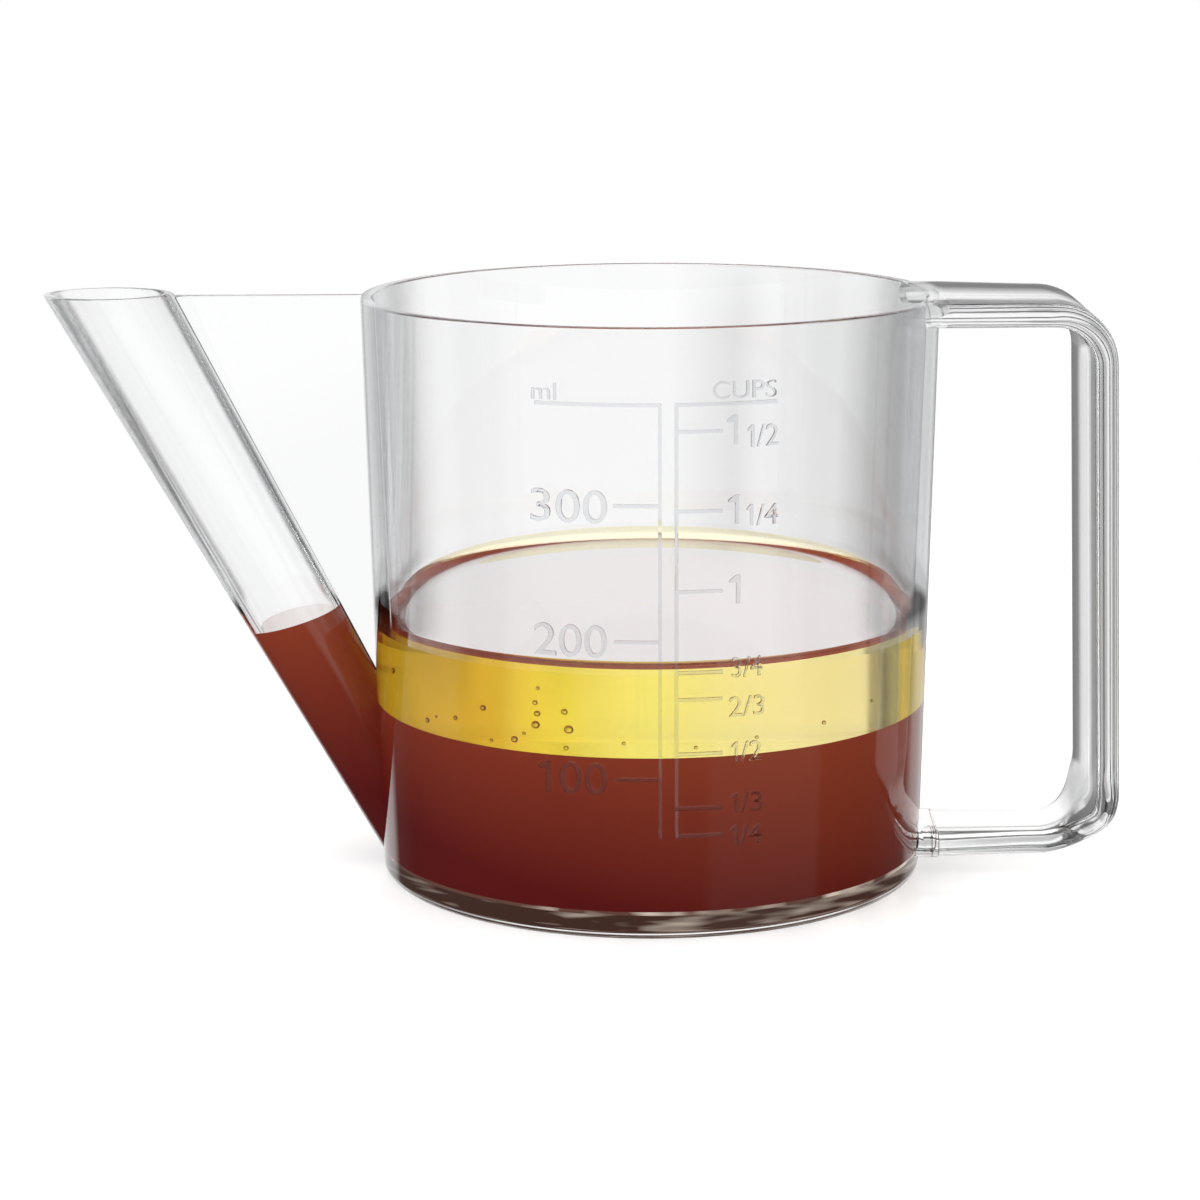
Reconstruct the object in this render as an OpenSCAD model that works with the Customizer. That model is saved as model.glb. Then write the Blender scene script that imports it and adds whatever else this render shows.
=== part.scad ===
// Gravy fat separator: a clear measuring cup whose spout starts at the floor, so that
// gravy pours from under the fat that floats on it. Millimetres, +Z up. The origin is
// the middle of the foot, on the table; the spout points along -X, the handle along +X.

/* [Cup] */
// Height of the rim above the table
cup_h = 88.5; // [74:0.5:110]
// Outer radius at the rim
rim_r = 43.3; // [41:0.1:52]
// Outer radius at the foot
foot_r = 41.2; // [38:0.1:44]
// Thickness of the wall at the rim
rim_wall = 1.8; // [1.4:0.1:2.6]
// Thickness of the wall at the foot
foot_wall = 2.4; // [1.8:0.1:3.2]
// Radius of the rounded edge under the foot
foot_round = 1.9; // [0.6:0.1:2.2]

/* [Floor] */
// Thickness of the floor disc
floor_t = 2.6; // [1.8:0.1:4]
// Height of the ledge that carries the floor disc clear of the table
ledge_h = 0.8; // [0.5:0.1:1.6]
// Width of the ledge, inward from the wall
ledge_w = 2.2; // [1:0.1:5]

/* [Spout] */
// Distance from the cup's axis to the middle of the spout's mouth
mouth_x = 81.1; // [74:0.1:92]
// Height of the mouth above the cup's rim
mouth_rise = 0.2; // [0:0.1:3]
// Lean of the spout from upright, in degrees
spout_lean = 28.5; // [26:0.1:31]
// Outer diameter of the spout at its mouth
mouth_d = 17; // [15:0.1:20]
// Outer diameter of the spout where its bore enters the cup
spout_root_d = 12.2; // [10.5:0.1:14]
// Thickness of the spout's wall
spout_wall = 1.25; // [0.9:0.05:2]

/* [Web] */
// Thickness of the web between the spout and the cup
web_t = 1.8; // [1:0.1:4]

/* [Handle] */
// Thickness of the strap
strap_t = 3.5; // [2.4:0.1:5]
// Width of the strap where the hand holds it
grip_w = 30; // [20:0.5:36]
// Width of the strap on its lower arm
lower_w = 14.9; // [11:0.1:22]
// Share by which the strap widens at its two roots
root_flare = 0.13; // [0:0.01:0.2]
// Distance from the cup's axis to the strap's outer face at the upper corner
reach = 68.4; // [60:0.1:80]
// How much farther out that face stands at the lower corner
strap_lean = 2.2; // [0:0.1:4]
// Outer radius of the strap's upper corner
upper_corner_r = 9.2; // [7:0.1:14]
// Outer radius of the strap's lower corner
lower_corner_r = 11.4; // [8:0.1:14]
// Drop of the strap's top face below the rim, at its root
strap_drop = 0.1; // [0:0.1:4]
// Fall of the upper arm from its root to the upper corner
upper_fall = 0.3; // [0:0.1:3]
// Height of the strap's underside above the table, at its lower root
strap_lift = 2.8; // [2.2:0.1:8]
// Rise of the lower arm from its root to the lower corner
lower_rise = 0.2; // [0:0.1:4]
// Height above the table below which the strap narrows
taper_top = 11.8; // [9:0.1:30]

/* [Handle pads] */
// Distance that the upper pad stands out from the wall
upper_pad_out = 1.1; // [0.8:0.1:4]
// Distance that the lower pad stands out from the wall
lower_pad_out = 2.6; // [0.8:0.1:4]
// Amount by which a pad is thicker and wider than the strap's root
pad_extra = 0.4; // [0:0.1:1.2]

/* [Scales] */
// Height of the raised scale lines over the wall
mark_relief = 0.35; // [0.2:0.05:0.8]
// Thickness of a scale line
mark_t = 0.5; // [0.3:0.05:1]
// Length of a scale line beside its rail
mark_l = 6.2; // [4:0.1:9]
// Length of the line on top of the millilitre scale
ml_top_l = 17; // [8:0.1:20]
// Length of the line on top of the measure scale
measure_top_l = 13.7; // [8:0.1:20]
// Distance of the middle of the two rails from the cup's centre line
scale_x = 2.2; // [-4:0.1:6]
// Gap between the two rails
rail_gap = 1.8; // [1:0.1:4]
// Fill volume at the top of both scales, in millilitres
scale_top_ml = 375; // [360:5:385]
// Volume between two lines of the millilitre scale
ml_step = 100; // [50:25:100]
// Volume of one measuring cup, in millilitres
measure_ml = 236.6; // [225:0.1:250]

/* [Hidden] */
$fn = 128;
cut = 1;                        // overrun of a cutting shape past the face that it cuts
big = 4 * (mouth_x + reach);
floor_top = ledge_h + floor_t;
wall_slope = (rim_r - foot_r) / cup_h;
bore_slope = (rim_r - rim_wall - foot_r + foot_wall) / cup_h;
mouth_z = cup_h + mouth_rise;
// Spout lengths along its own axis: mouth to root, and the overrun above the mouth
spout_l = (mouth_z - floor_top) / cos(spout_lean);
spout_over = mouth_d;
spout_end = spout_root_d / 2;
spout_taper = (mouth_d - spout_root_d) / 2 / spout_l;
// Strap
strap_half = strap_t / 2;
upper_bend_r = upper_corner_r - strap_half;
lower_bend_r = lower_corner_r - strap_half;
upper_z = cup_h - strap_drop - strap_half;
lower_z = strap_lift + strap_half;
upper_root = [outer_r(upper_z) + upper_pad_out, upper_z];
upper_corner = [reach - strap_half, upper_z - upper_fall];
lower_root = [outer_r(lower_z) + lower_pad_out, lower_z];
lower_corner = [reach + strap_lean - strap_half, lower_z + lower_rise];
bend_steps = 16;
edge_steps = 8;
rings_per_arm = 4;
rings_on_grip = 16;
// Lines of the measure scale, in cups
measure_lines = [1/4, 1/3, 1/2, 2/3, 3/4, 1, 5/4, 3/2];

// Radius of the cup's outside and inside at a height
function outer_r(z) = foot_r + wall_slope * z;
function inner_r(z) = foot_r - foot_wall + bore_slope * z;

// Height above the table that a volume in millilitres fills the cup to
function fill_z(ml) =
    let (a = inner_r(floor_top), b = bore_slope)
    floor_top + (pow(pow(a, 3) + 3 * b * ml * 1000 / PI, 1/3) - a) / b;

// ---- the cup ----

// Half section of the cup's whole outside, its foot edge rounded
module cup_outline() {
    centre_x = outer_r(foot_round) - foot_round * sqrt(1 + wall_slope * wall_slope);
    lean = atan(wall_slope);
    touch = [centre_x + foot_round * cos(lean), foot_round - foot_round * sin(lean)];
    difference() {
        polygon([[0, 0], [foot_r, 0], [rim_r, cup_h], [0, cup_h]]);
        difference() {
            polygon([[centre_x, -cut], [rim_r + cut, -cut], [rim_r + cut, touch[1]],
                     touch, [centre_x, foot_round]]);
            translate([centre_x, foot_round]) circle(foot_round);
        }
    }
}

module cup_solid() {
    rotate_extrude() cup_outline();
}

// The cup's outside as a plain cone that runs on past the rim, to cut what sits on the wall
module cup_cone() {
    cylinder(h = cup_h + cut, r1 = foot_r, r2 = outer_r(cup_h + cut));
}

module cup_wall() {
    color("aliceblue")
    difference() {
        rotate_extrude()
        difference() {
            cup_outline();
            // room for the gravy, and the floor disc's seat
            polygon([[0, ledge_h], [inner_r(ledge_h), ledge_h],
                     [inner_r(cup_h + cut), cup_h + cut], [0, cup_h + cut]]);
            // hollow under the floor, inside the ledge
            translate([0, -cut]) square([inner_r(ledge_h) - ledge_w, ledge_h + 2 * cut]);
        }
        // port: the spout's bore, down to the top of the floor
        intersection() {
            spout_bore();
            translate([-big / 2, -big / 2, floor_top]) cube(big);
        }
    }
}

module cup_floor() {
    color("lavender")
    translate([0, 0, ledge_h])
    cylinder(h = floor_t, r1 = inner_r(ledge_h), r2 = inner_r(floor_top));
}

// ---- the spout ----

// A cone along the spout's axis, thinner than the spout's outside by inset
module spout_cone(inset) {
    translate([-mouth_x, 0, mouth_z])
    rotate([0, -spout_lean, 0])
    translate([0, 0, -spout_l - spout_end])
    cylinder(h = spout_l + spout_end + spout_over,
             r1 = spout_root_d / 2 - inset - spout_taper * spout_end,
             r2 = mouth_d / 2 - inset + spout_taper * spout_over);
}

module spout_bore() {
    spout_cone(spout_wall);
}

module spout_tube() {
    color("powderblue")
    difference() {
        intersection() {
            spout_cone(0);
            // the mouth is cut level, and the lower end stays inside the foot
            translate([-big / 2, -big / 2, foot_round]) cube([big, big, mouth_z - foot_round]);
        }
        spout_bore();
        cup_solid();
    }
}

// Point on the spout's axis at a height
function spout_axis(z) = [-mouth_x + (mouth_z - z) * tan(spout_lean), z];

module spout_web() {
    low = floor_top + spout_root_d;
    color("azure")
    difference() {
        translate([0, web_t / 2, 0])
        rotate([90, 0, 0])
        linear_extrude(web_t)
        polygon([spout_axis(cup_h), spout_axis(low), [-inner_r(low), low],
                 [-inner_r(cup_h), cup_h]]);
        spout_cone(0);
        cup_solid();
    }
}

// ---- the handle ----

function unit(v) = v / norm(v);
function mix(a, b, k) = a + (b - a) * k;
function smooth(k) = let (c = min(max(k, 0), 1)) c * c * (3 - 2 * c);

// Points of a bend of radius r at corner b, on the way from a to c
function bend(a, b, c, r) =
    let (u = unit(a - b), v = unit(c - b),
         turn = acos(u * v),
         middle = b + unit(u + v) * r / sin(turn / 2),
         from = b + u * r / tan(turn / 2) - middle,
         start = atan2(from[1], from[0]))
    [for (i = [0 : bend_steps])
        let (angle = start - (180 - turn) * i / bend_steps)
        middle + r * [cos(angle), sin(angle)]];

// Points between two ends, both left out
function between(a, b, n) = [for (i = [1 : n]) mix(a, b, i / (n + 1))];

upper_bend = bend(upper_root, upper_corner, lower_corner, upper_bend_r);
lower_bend = bend(upper_corner, lower_corner, lower_root, lower_bend_r);
strap_line = concat(
    [upper_root],
    between(upper_root, upper_bend[0], rings_per_arm),
    upper_bend,
    between(upper_bend[bend_steps], lower_bend[0], rings_on_grip),
    lower_bend,
    between(lower_bend[bend_steps], lower_root, rings_per_arm),
    [lower_root]);
strap_last = len(strap_line) - 1;

// Direction of the strap at ring i; both ends are square to the pads
function strap_dir(i) =
    i == 0 ? [1, 0] :
    i == strap_last ? [-1, 0] :
    unit(strap_line[i + 1] - strap_line[i - 1]);

// Width of the strap at a point: broad in the grip, narrow below, flared at the roots
function strap_w(p) =
    let (low_z = lower_corner[1],
         body = mix(lower_w, grip_w, smooth((p[1] - low_z) / (taper_top - low_z))),
         near = max(0, 1 - (p[0] - lower_root[0]) / (reach - lower_corner_r - lower_root[0])))
    body * (1 + root_flare * near);

// One ring of the strap: a flat band with full round edges
function strap_ring(i) =
    let (p = strap_line[i], d = strap_dir(i), side = [-d[1], d[0]],
         flat = strap_w(p) / 2 - strap_half)
    [for (edge = [1, -1]) for (k = [0 : edge_steps])
        let (angle = 90 - 180 * k / edge_steps,
             across = edge * (flat + strap_half * cos(angle)),
             off = edge * strap_half * sin(angle))
        [p[0] + side[0] * off, across, p[1] + side[1] * off]];

module handle_strap() {
    count = 2 * (edge_steps + 1);
    points = [for (i = [0 : strap_last]) each strap_ring(i)];
    sides = [for (i = [0 : strap_last - 1]) for (j = [0 : count - 1])
        let (a = i * count + j, b = i * count + (j + 1) % count)
        each [[a, b, b + count], [a, b + count, a + count]]];
    first = [for (j = [count - 1 : -1 : 0]) j];
    last = [for (j = [0 : count - 1]) strap_last * count + j];
    color("lightcyan")
    polyhedron(points, concat(sides, [first, last]));
}

// A flat band's section with full round edges, its width along X
module band(w, t) {
    square([w - t, t], center = true);
    for (side = [-1, 1]) translate([side * (w - t) / 2, 0]) circle(d = t);
}

// Pad that seats the strap's end on the round wall
module handle_pad(root) {
    difference() {
        translate([root[0], 0, root[1]])
        rotate([0, -90, 0])
        linear_extrude(root[0])
        rotate(90)
        band(strap_w(root) + pad_extra, strap_t + pad_extra);
        cup_cone();
    }
}

module upper_handle_pad() {
    color("lightsteelblue")
    intersection() {
        handle_pad(upper_root);
        // the pad stops level with the rim
        translate([0, -big / 2, cup_h - big]) cube(big);
    }
}

module lower_handle_pad() {
    color("lightsteelblue") handle_pad(lower_root);
}

// ---- the raised scales ----

// Skin of the cup's outside, as thick as the marks are raised
module mark_skin(low, high) {
    rotate_extrude()
    polygon([[outer_r(low), low], [outer_r(low) + mark_relief, low],
             [outer_r(high) + mark_relief, high], [outer_r(high), high]]);
}

// Bar on the front of the cup, from x1 to x2 and z1 to z2
module mark(x1, x2, z1, z2) {
    translate([x1, -2 * rim_r, z1]) cube([x2 - x1, 2 * rim_r, z2 - z1]);
}

// A rail with its lines; side is -1 for lines on its left and 1 on its right
module scale_lines(side, volumes, top_l) {
    low = fill_z(measure_lines[0] * measure_ml) - mark_t;
    high = fill_z(scale_top_ml) + mark_t / 2;
    near = scale_x + side * rail_gap / 2;
    rail = near + side * mark_t;
    intersection() {
        mark_skin(low, high);
        union() {
            mark(min(near, rail), max(near, rail), low, high);
            for (ml = volumes)
                let (far = rail + side * (ml == scale_top_ml ? top_l : mark_l),
                     z = fill_z(ml))
                mark(min(near, far), max(near, far), z - mark_t / 2, z + mark_t / 2);
        }
    }
}

module millilitre_scale() {
    color("silver")
    scale_lines(-1, concat([for (ml = [ml_step : ml_step : scale_top_ml - ml_step / 2]) ml],
                           [scale_top_ml]), ml_top_l);
}

module measure_scale() {
    color("silver")
    scale_lines(1, concat([for (share = measure_lines) share * measure_ml],
                          [scale_top_ml]), measure_top_l);
}

cup_wall();
cup_floor();
spout_tube();
spout_web();
handle_strap();
upper_handle_pad();
lower_handle_pad();
millilitre_scale();
measure_scale();
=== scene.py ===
"""Visual model of a clear gravy fat separator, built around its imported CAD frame.

Sizes are in millimetres until a mesh is made, and every mesh is in metres in the CAD's own
frame: +Z up, the foot on the table at the origin, spout along -X, handle along +X.
"""

import logging
import math
from contextlib import contextmanager
from dataclasses import dataclass
from enum import Enum
from typing import Callable, Iterator, Sequence

import bmesh
import bpy
from mathutils import Matrix, Vector


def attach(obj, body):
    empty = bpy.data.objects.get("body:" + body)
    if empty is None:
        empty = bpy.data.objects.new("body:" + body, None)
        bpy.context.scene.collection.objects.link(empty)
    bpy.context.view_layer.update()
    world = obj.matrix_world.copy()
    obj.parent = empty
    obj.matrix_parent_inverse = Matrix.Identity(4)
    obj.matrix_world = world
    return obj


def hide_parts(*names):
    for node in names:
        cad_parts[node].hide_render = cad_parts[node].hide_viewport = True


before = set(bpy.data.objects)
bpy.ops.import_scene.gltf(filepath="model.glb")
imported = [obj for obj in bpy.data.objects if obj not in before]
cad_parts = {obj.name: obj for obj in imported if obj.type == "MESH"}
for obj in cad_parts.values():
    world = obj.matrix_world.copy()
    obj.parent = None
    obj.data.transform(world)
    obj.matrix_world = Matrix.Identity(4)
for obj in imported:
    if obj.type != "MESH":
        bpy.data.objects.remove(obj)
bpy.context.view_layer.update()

MM = 0.001
SAME = 1e-6  # metres within which two places count as one
SPARE = 2.0  # millimetres that a cutting solid runs past what it cuts
TURN = 2 * math.pi
ROOT = "root"
WHITE = (1.0, 1.0, 1.0, 1.0)
FORWARDS = (math.pi / 2, 0, 0)
LOG = logging.getLogger("separator")

Point2 = tuple[float, float]
Colour = tuple[float, float, float]
Rgba = tuple[float, float, float, float]
Piece = bpy.types.Object
Material = bpy.types.Material
Socket = bpy.types.NodeSocket


# ---------------------------------------------------------------- tools for meshes


def deselect() -> None:
    """Clears the selection in object mode."""
    bpy.ops.object.select_all(action="DESELECT")


def activate(piece: Piece) -> None:
    """Makes one piece the only selected piece, and the active one.

    Args:
        piece: The piece to select.
    """
    deselect()
    piece.select_set(True)
    bpy.context.view_layer.objects.active = piece


@contextmanager
def editing(piece: Piece, everything: bool = False) -> Iterator[None]:
    """Opens a piece in edit mode for the length of a with block.

    Args:
        piece: The mesh piece to edit.
        everything: Whether all of it starts selected, and otherwise none of it.

    Yields:
        Nothing.
    """
    activate(piece)
    bpy.ops.object.mode_set(mode="EDIT")
    bpy.ops.mesh.select_mode(type="VERT")
    bpy.ops.mesh.select_all(action="SELECT" if everything else "DESELECT")
    yield
    bpy.ops.object.mode_set(mode="OBJECT")


def pick_vertices(piece: Piece, wanted: Callable[[Vector], bool], only_new: int = 0) -> None:
    """Selects vertices by place in edit mode, and nothing else.

    Args:
        piece: The piece in edit mode.
        wanted: Says from a vertex's place, in metres, whether it is selected.
        only_new: Index of the first vertex that may be selected.
    """
    mesh = bmesh.from_edit_mesh(piece.data)
    for face in mesh.faces:
        face.select_set(False)
    for edge in mesh.edges:
        edge.select_set(False)
    for index, vertex in enumerate(mesh.verts):
        vertex.select_set(index >= only_new and wanted(vertex.co))
    mesh.select_flush_mode()
    bmesh.update_edit_mesh(piece.data)


def apply_modifier(piece: Piece, kind: str, **settings: object) -> None:
    """Adds a modifier to a piece and applies it at once.

    Args:
        piece: The piece to change.
        kind: Blender's name for the kind of modifier.
        settings: Values for the modifier's own properties.
    """
    activate(piece)
    bpy.ops.object.modifier_add(type=kind)
    modifier = piece.modifiers[-1]
    for key, value in settings.items():
        setattr(modifier, key, value)
    bpy.ops.object.modifier_apply(modifier=modifier.name)


class Solid(Enum):
    """How a tool's solid changes a piece's solid."""

    ADD = "UNION"
    CUT = "DIFFERENCE"


def combine(piece: Piece, tool: Piece, how: Solid) -> None:
    """Adds a tool's solid to a piece or cuts it away, and removes the tool.

    Args:
        piece: The piece to change.
        tool: The closed mesh that is added or cut away.
        how: Whether the tool is added or cut away.
    """
    apply_modifier(piece, "BOOLEAN", object=tool, operation=how.value, solver="MANIFOLD")
    bpy.data.objects.remove(tool, do_unlink=True)


def rename(piece: Piece, name: str) -> Piece:
    """Gives a piece and its mesh one name, and hands the piece back.

    Args:
        piece: The piece to name.
        name: Its new name.

    Returns:
        The same piece.
    """
    piece.name = name
    piece.data.name = name
    return piece


def create(name: str, maker: Callable[..., object], **settings: object) -> Piece:
    """Runs one of Blender's operators that add an object.

    Args:
        name: The new piece's name.
        maker: The operator.
        settings: The operator's own properties.

    Returns:
        The new piece.
    """
    deselect()
    maker(**settings)
    return rename(bpy.context.active_object, name)


def settle(piece: Piece) -> None:
    """Applies a piece's place, turn and scale to its mesh."""
    activate(piece)
    bpy.ops.object.transform_apply(location=True, rotation=True, scale=True)


def join(pieces: Sequence[Piece]) -> Piece:
    """Joins pieces into the first of them.

    Args:
        pieces: The pieces, which become one.

    Returns:
        The joined piece.
    """
    deselect()
    for piece in pieces:
        piece.select_set(True)
    bpy.context.view_layer.objects.active = pieces[0]
    bpy.ops.object.join()
    return pieces[0]


def smooth(piece: Piece, degrees: float) -> None:
    """Shades a piece smooth, except over edges sharper than an angle."""
    activate(piece)
    bpy.ops.object.shade_smooth_by_angle(angle=math.radians(degrees))


def tidy_normals(piece: Piece) -> None:
    """Merges a piece's double vertices and turns its faces outwards."""
    with editing(piece, everything=True):
        bpy.ops.mesh.remove_doubles(threshold=SAME)
        bpy.ops.mesh.normals_make_consistent(inside=False)


def bevel_edges(
    piece: Piece, wanted: Callable[[bmesh.types.BMEdge], bool], width: float
) -> None:
    """Rounds the edges that a rule picks.

    Args:
        piece: The closed piece to round.
        wanted: Says whether an edge is rounded.
        width: Width of the rounding, in millimetres.
    """
    with editing(piece):
        bpy.ops.mesh.select_mode(type="EDGE")
        mesh = bmesh.from_edit_mesh(piece.data)
        for edge in mesh.edges:
            edge.select_set(wanted(edge))
        bmesh.update_edit_mesh(piece.data)
        bpy.ops.mesh.bevel(offset=width * MM, segments=3)


def arc(centre: Point2, radius: float, start: float, end: float, steps: int = 6) -> list[Point2]:
    """Points on an arc, both ends included.

    Args:
        centre: The arc's centre.
        radius: Its radius.
        start: Angle of the first point, in degrees.
        end: Angle of the last point, in degrees.
        steps: Number of straight steps.

    Returns:
        The points, in order.
    """
    points = []
    for i in range(steps + 1):
        angle = math.radians(start + (end - start) * i / steps)
        points.append((centre[0] + radius * math.cos(angle), centre[1] + radius * math.sin(angle)))
    return points


def trace(name: str, points: Sequence[Point2], y: float = 0.0) -> Piece:
    """Draws a chain of edges through points of x and z.

    Args:
        name: The new piece's name.
        points: The points, in millimetres.
        y: Place of all of them along Y.

    Returns:
        The chain, without faces.
    """
    piece = create(name, bpy.ops.mesh.primitive_plane_add, size=MM)
    with editing(piece, everything=True):
        bpy.ops.mesh.merge(type="CENTER")
        bpy.ops.transform.translate(value=(points[0][0] * MM, y * MM, points[0][1] * MM))
        for (x0, z0), (x1, z1) in zip(points, points[1:]):
            step = ((x1 - x0) * MM, 0, (z1 - z0) * MM)
            bpy.ops.mesh.extrude_region_move(TRANSFORM_OT_translate={"value": step})
    return piece


def revolve(name: str, profile: Sequence[Point2], steps: int = 256) -> Piece:
    """Turns a profile of radius and height round the cup's axis.

    Args:
        name: The new piece's name.
        profile: Points of radius and height in millimetres, from axis to axis.
        steps: Number of steps in the turn.

    Returns:
        The closed piece.
    """
    piece = trace(name, profile)
    with editing(piece, everything=True):
        bpy.ops.mesh.spin(steps=steps, angle=TURN, center=(0, 0, 0), axis=(0, 0, 1))
    tidy_normals(piece)
    return piece


@dataclass(frozen=True)
class Station:
    """One ring of a swept flat band with full round edges.

    Attributes:
        x: Place along X, in millimetres.
        z: Place along Z, in millimetres.
        heading: The band's direction, in degrees from +X towards +Z.
        width: Width along Y.
        thickness: Thickness of the band.
    """

    x: float
    z: float
    heading: float
    width: float
    thickness: float


def sweep_band(name: str, stations: Sequence[Station], sides: int = 40) -> Piece:
    """Bridges rings into a closed band with full round edges.

    Args:
        name: The new piece's name.
        stations: The rings, in order along the band.
        sides: Number of points in each ring, a multiple of four.

    Returns:
        The closed piece.
    """
    piece = create(name, bpy.ops.mesh.primitive_circle_add, vertices=3, radius=MM)
    with editing(piece, everything=True):
        bpy.ops.mesh.delete(type="VERT")
        half_side = math.pi / sides
        for station in stations:
            before = len(bmesh.from_edit_mesh(piece.data).verts)
            tilt = Matrix.Rotation(math.radians(90 - station.heading), 3, "Y")
            turn = tilt @ Matrix.Rotation(half_side, 3, "Z")
            bpy.ops.mesh.primitive_circle_add(
                vertices=sides,
                radius=station.thickness / 2 * MM / math.cos(half_side),
                location=(station.x * MM, 0, station.z * MM),
                rotation=turn.to_euler(),
            )
            shift = (station.width - station.thickness) / 2 * MM
            for side in (1, -1):
                pick_vertices(piece, lambda co, side=side: co.y * side > 0, before)
                bpy.ops.transform.translate(value=(0, side * shift, 0))
        bpy.ops.mesh.select_all(action="SELECT")
        bpy.ops.mesh.bridge_edge_loops()
        bpy.ops.mesh.select_all(action="SELECT")
        bpy.ops.mesh.fill_holes(sides=0)
    tidy_normals(piece)
    return piece


def slice_off(piece: Piece, height: float, above: bool) -> None:
    """Cuts a closed piece level and closes it again.

    Args:
        piece: The piece to cut.
        height: Height of the cut, in millimetres.
        above: Whether the part above the cut goes, and otherwise the part below.
    """
    with editing(piece, everything=True):
        bpy.ops.mesh.bisect(
            plane_co=(0, 0, height * MM),
            plane_no=(0, 0, 1),
            use_fill=True,
            clear_outer=above,
            clear_inner=not above,
        )


# ---------------------------------------------------------------- tools for materials


class NodeBook:
    """Nodes and links of one material or world, laid out in the order they are made."""

    def __init__(self, owner: bpy.types.ID) -> None:
        """Empties the owner's node tree.

        Args:
            owner: The material or world whose nodes these are.
        """
        owner.use_nodes = True
        self.tree = owner.node_tree
        self.tree.nodes.clear()
        kind = "World" if isinstance(owner, bpy.types.World) else "Material"
        self.output_type = f"ShaderNodeOutput{kind}"

    def feed(self, socket: Socket, value: object) -> None:
        """Links a socket to another one, or sets it to a plain value.

        Args:
            socket: The socket that takes the value.
            value: The socket that it comes from, or the value itself.
        """
        if isinstance(value, bpy.types.NodeSocket):
            self.tree.links.new(value, socket)
        else:
            socket.default_value = value

    def add(self, kind: str, **inputs: object) -> bpy.types.Node:
        """Adds a node.

        Args:
            kind: Blender's name of the node's type.
            inputs: Properties by their own name, and sockets by name with _ for a space. A
                socket given as a value is linked, and anything else sets its default.

        Returns:
            The node.
        """
        node = self.tree.nodes.new(kind)
        node.location = (220 * (len(self.tree.nodes) % 8), -260 * (len(self.tree.nodes) // 8))
        for key, value in inputs.items():
            if hasattr(node, key) and not isinstance(value, bpy.types.NodeSocket):
                setattr(node, key, value)
            else:
                self.feed(node.inputs[key.replace("_", " ")], value)
        return node

    def maths(self, operation: str, *values: float | Socket) -> Socket:
        """Adds a Math node.

        Args:
            operation: The operation's name.
            values: Its inputs in order, each a number or a socket.

        Returns:
            The node's output.
        """
        node = self.add("ShaderNodeMath", operation=operation)
        for socket, value in zip(node.inputs, values):
            self.feed(socket, value)
        return node.outputs[0]

    def step(self, value: Socket, edges: Point2, top: float) -> Socket:
        """Adds a smooth step from 0 to a top value between two edges.

        Args:
            value: The value that is compared.
            edges: Where the step starts and ends.
            top: The result past its end.

        Returns:
            The step.
        """
        node = self.add(
            "ShaderNodeMapRange",
            interpolation_type="SMOOTHSTEP",
            Value=value,
            From_Min=edges[0],
            From_Max=edges[1],
            To_Max=top,
        )
        return node.outputs["Result"]

    def ramp(self, factor: Socket, stops: Sequence[tuple[float, Colour]]) -> Socket:
        """Adds a colour ramp.

        Args:
            factor: The value that picks a colour.
            stops: Places from 0 to 1, each with its colour.

        Returns:
            The ramp's colour.
        """
        node = self.add("ShaderNodeValToRGB")
        self.tree.links.new(factor, node.inputs[0])
        elements = node.color_ramp.elements
        while len(elements) < len(stops):
            elements.new(0.5)
        for element, (place, colour) in zip(elements, stops):
            element.position = place
            element.color = (*colour, 1.0)
        return node.outputs["Color"]

    def tones(self, factor: Socket, stops: Sequence[Point2]) -> Socket:
        """Adds a ramp of greys, from places and their brightness."""
        return self.ramp(factor, [(place, (tone, tone, tone)) for place, tone in stops])

    def blend(self, factor: Socket, *colours: Socket | Rgba) -> Socket:
        """Blends two colours: the first at factor 0, the second at factor 1.

        Args:
            factor: Share of the second colour.
            colours: The two colours, each a socket or a plain value.

        Returns:
            The blended colour.
        """
        node = self.add("ShaderNodeMix", data_type="RGBA", Factor=factor)
        for socket, colour in zip(node.inputs[6:8], colours):
            self.feed(socket, colour)
        return node.outputs[2]

    def mix_shaders(self, factor: Socket, first: Socket, second: Socket) -> Socket:
        """Mixes two shaders: the first at factor 0, the second at factor 1.

        Args:
            factor: Share of the second shader.
            first: The first shader.
            second: The second shader.

        Returns:
            The mixed shader.
        """
        node = self.add("ShaderNodeMixShader")
        for socket, value in zip(node.inputs, (factor, first, second)):
            self.feed(socket, value)
        return node.outputs[0]

    def axes(self, space: str = "Object") -> Sequence[Socket]:
        """Splits one kind of texture coordinates into X, Y and Z."""
        place = self.add("ShaderNodeTexCoord")
        return self.add("ShaderNodeSeparateXYZ", Vector=place.outputs[space]).outputs

    def facing(self) -> Socket:
        """Adds the facing value: 0 where a surface is seen straight on, 1 at its edge."""
        return self.add("ShaderNodeLayerWeight", Blend=0.5).outputs["Facing"]

    def pass_soft_light(self, surface: Socket, shade: Colour) -> Socket:
        """Lets shadow and diffuse rays go straight through a surface, in a colour.

        Args:
            surface: The surface's shader for all other rays.
            shade: The colour that these rays keep.

        Returns:
            The mixed shader.
        """
        path = self.add("ShaderNodeLightPath").outputs
        soft = self.maths("MAXIMUM", path["Is Shadow Ray"], path["Is Diffuse Ray"])
        clear = self.add("ShaderNodeBsdfTransparent", Color=(*shade, 1.0))
        return self.mix_shaders(soft, surface, clear.outputs[0])

    def end(self, surface: Socket, volume: Socket | None = None) -> None:
        """Links the final surface, and a volume if there is one, to the output.

        Args:
            surface: The final surface shader.
            volume: The shader of what is inside.
        """
        output = self.add(self.output_type, Surface=surface)
        if volume:
            self.feed(output.inputs["Volume"], volume)


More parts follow.
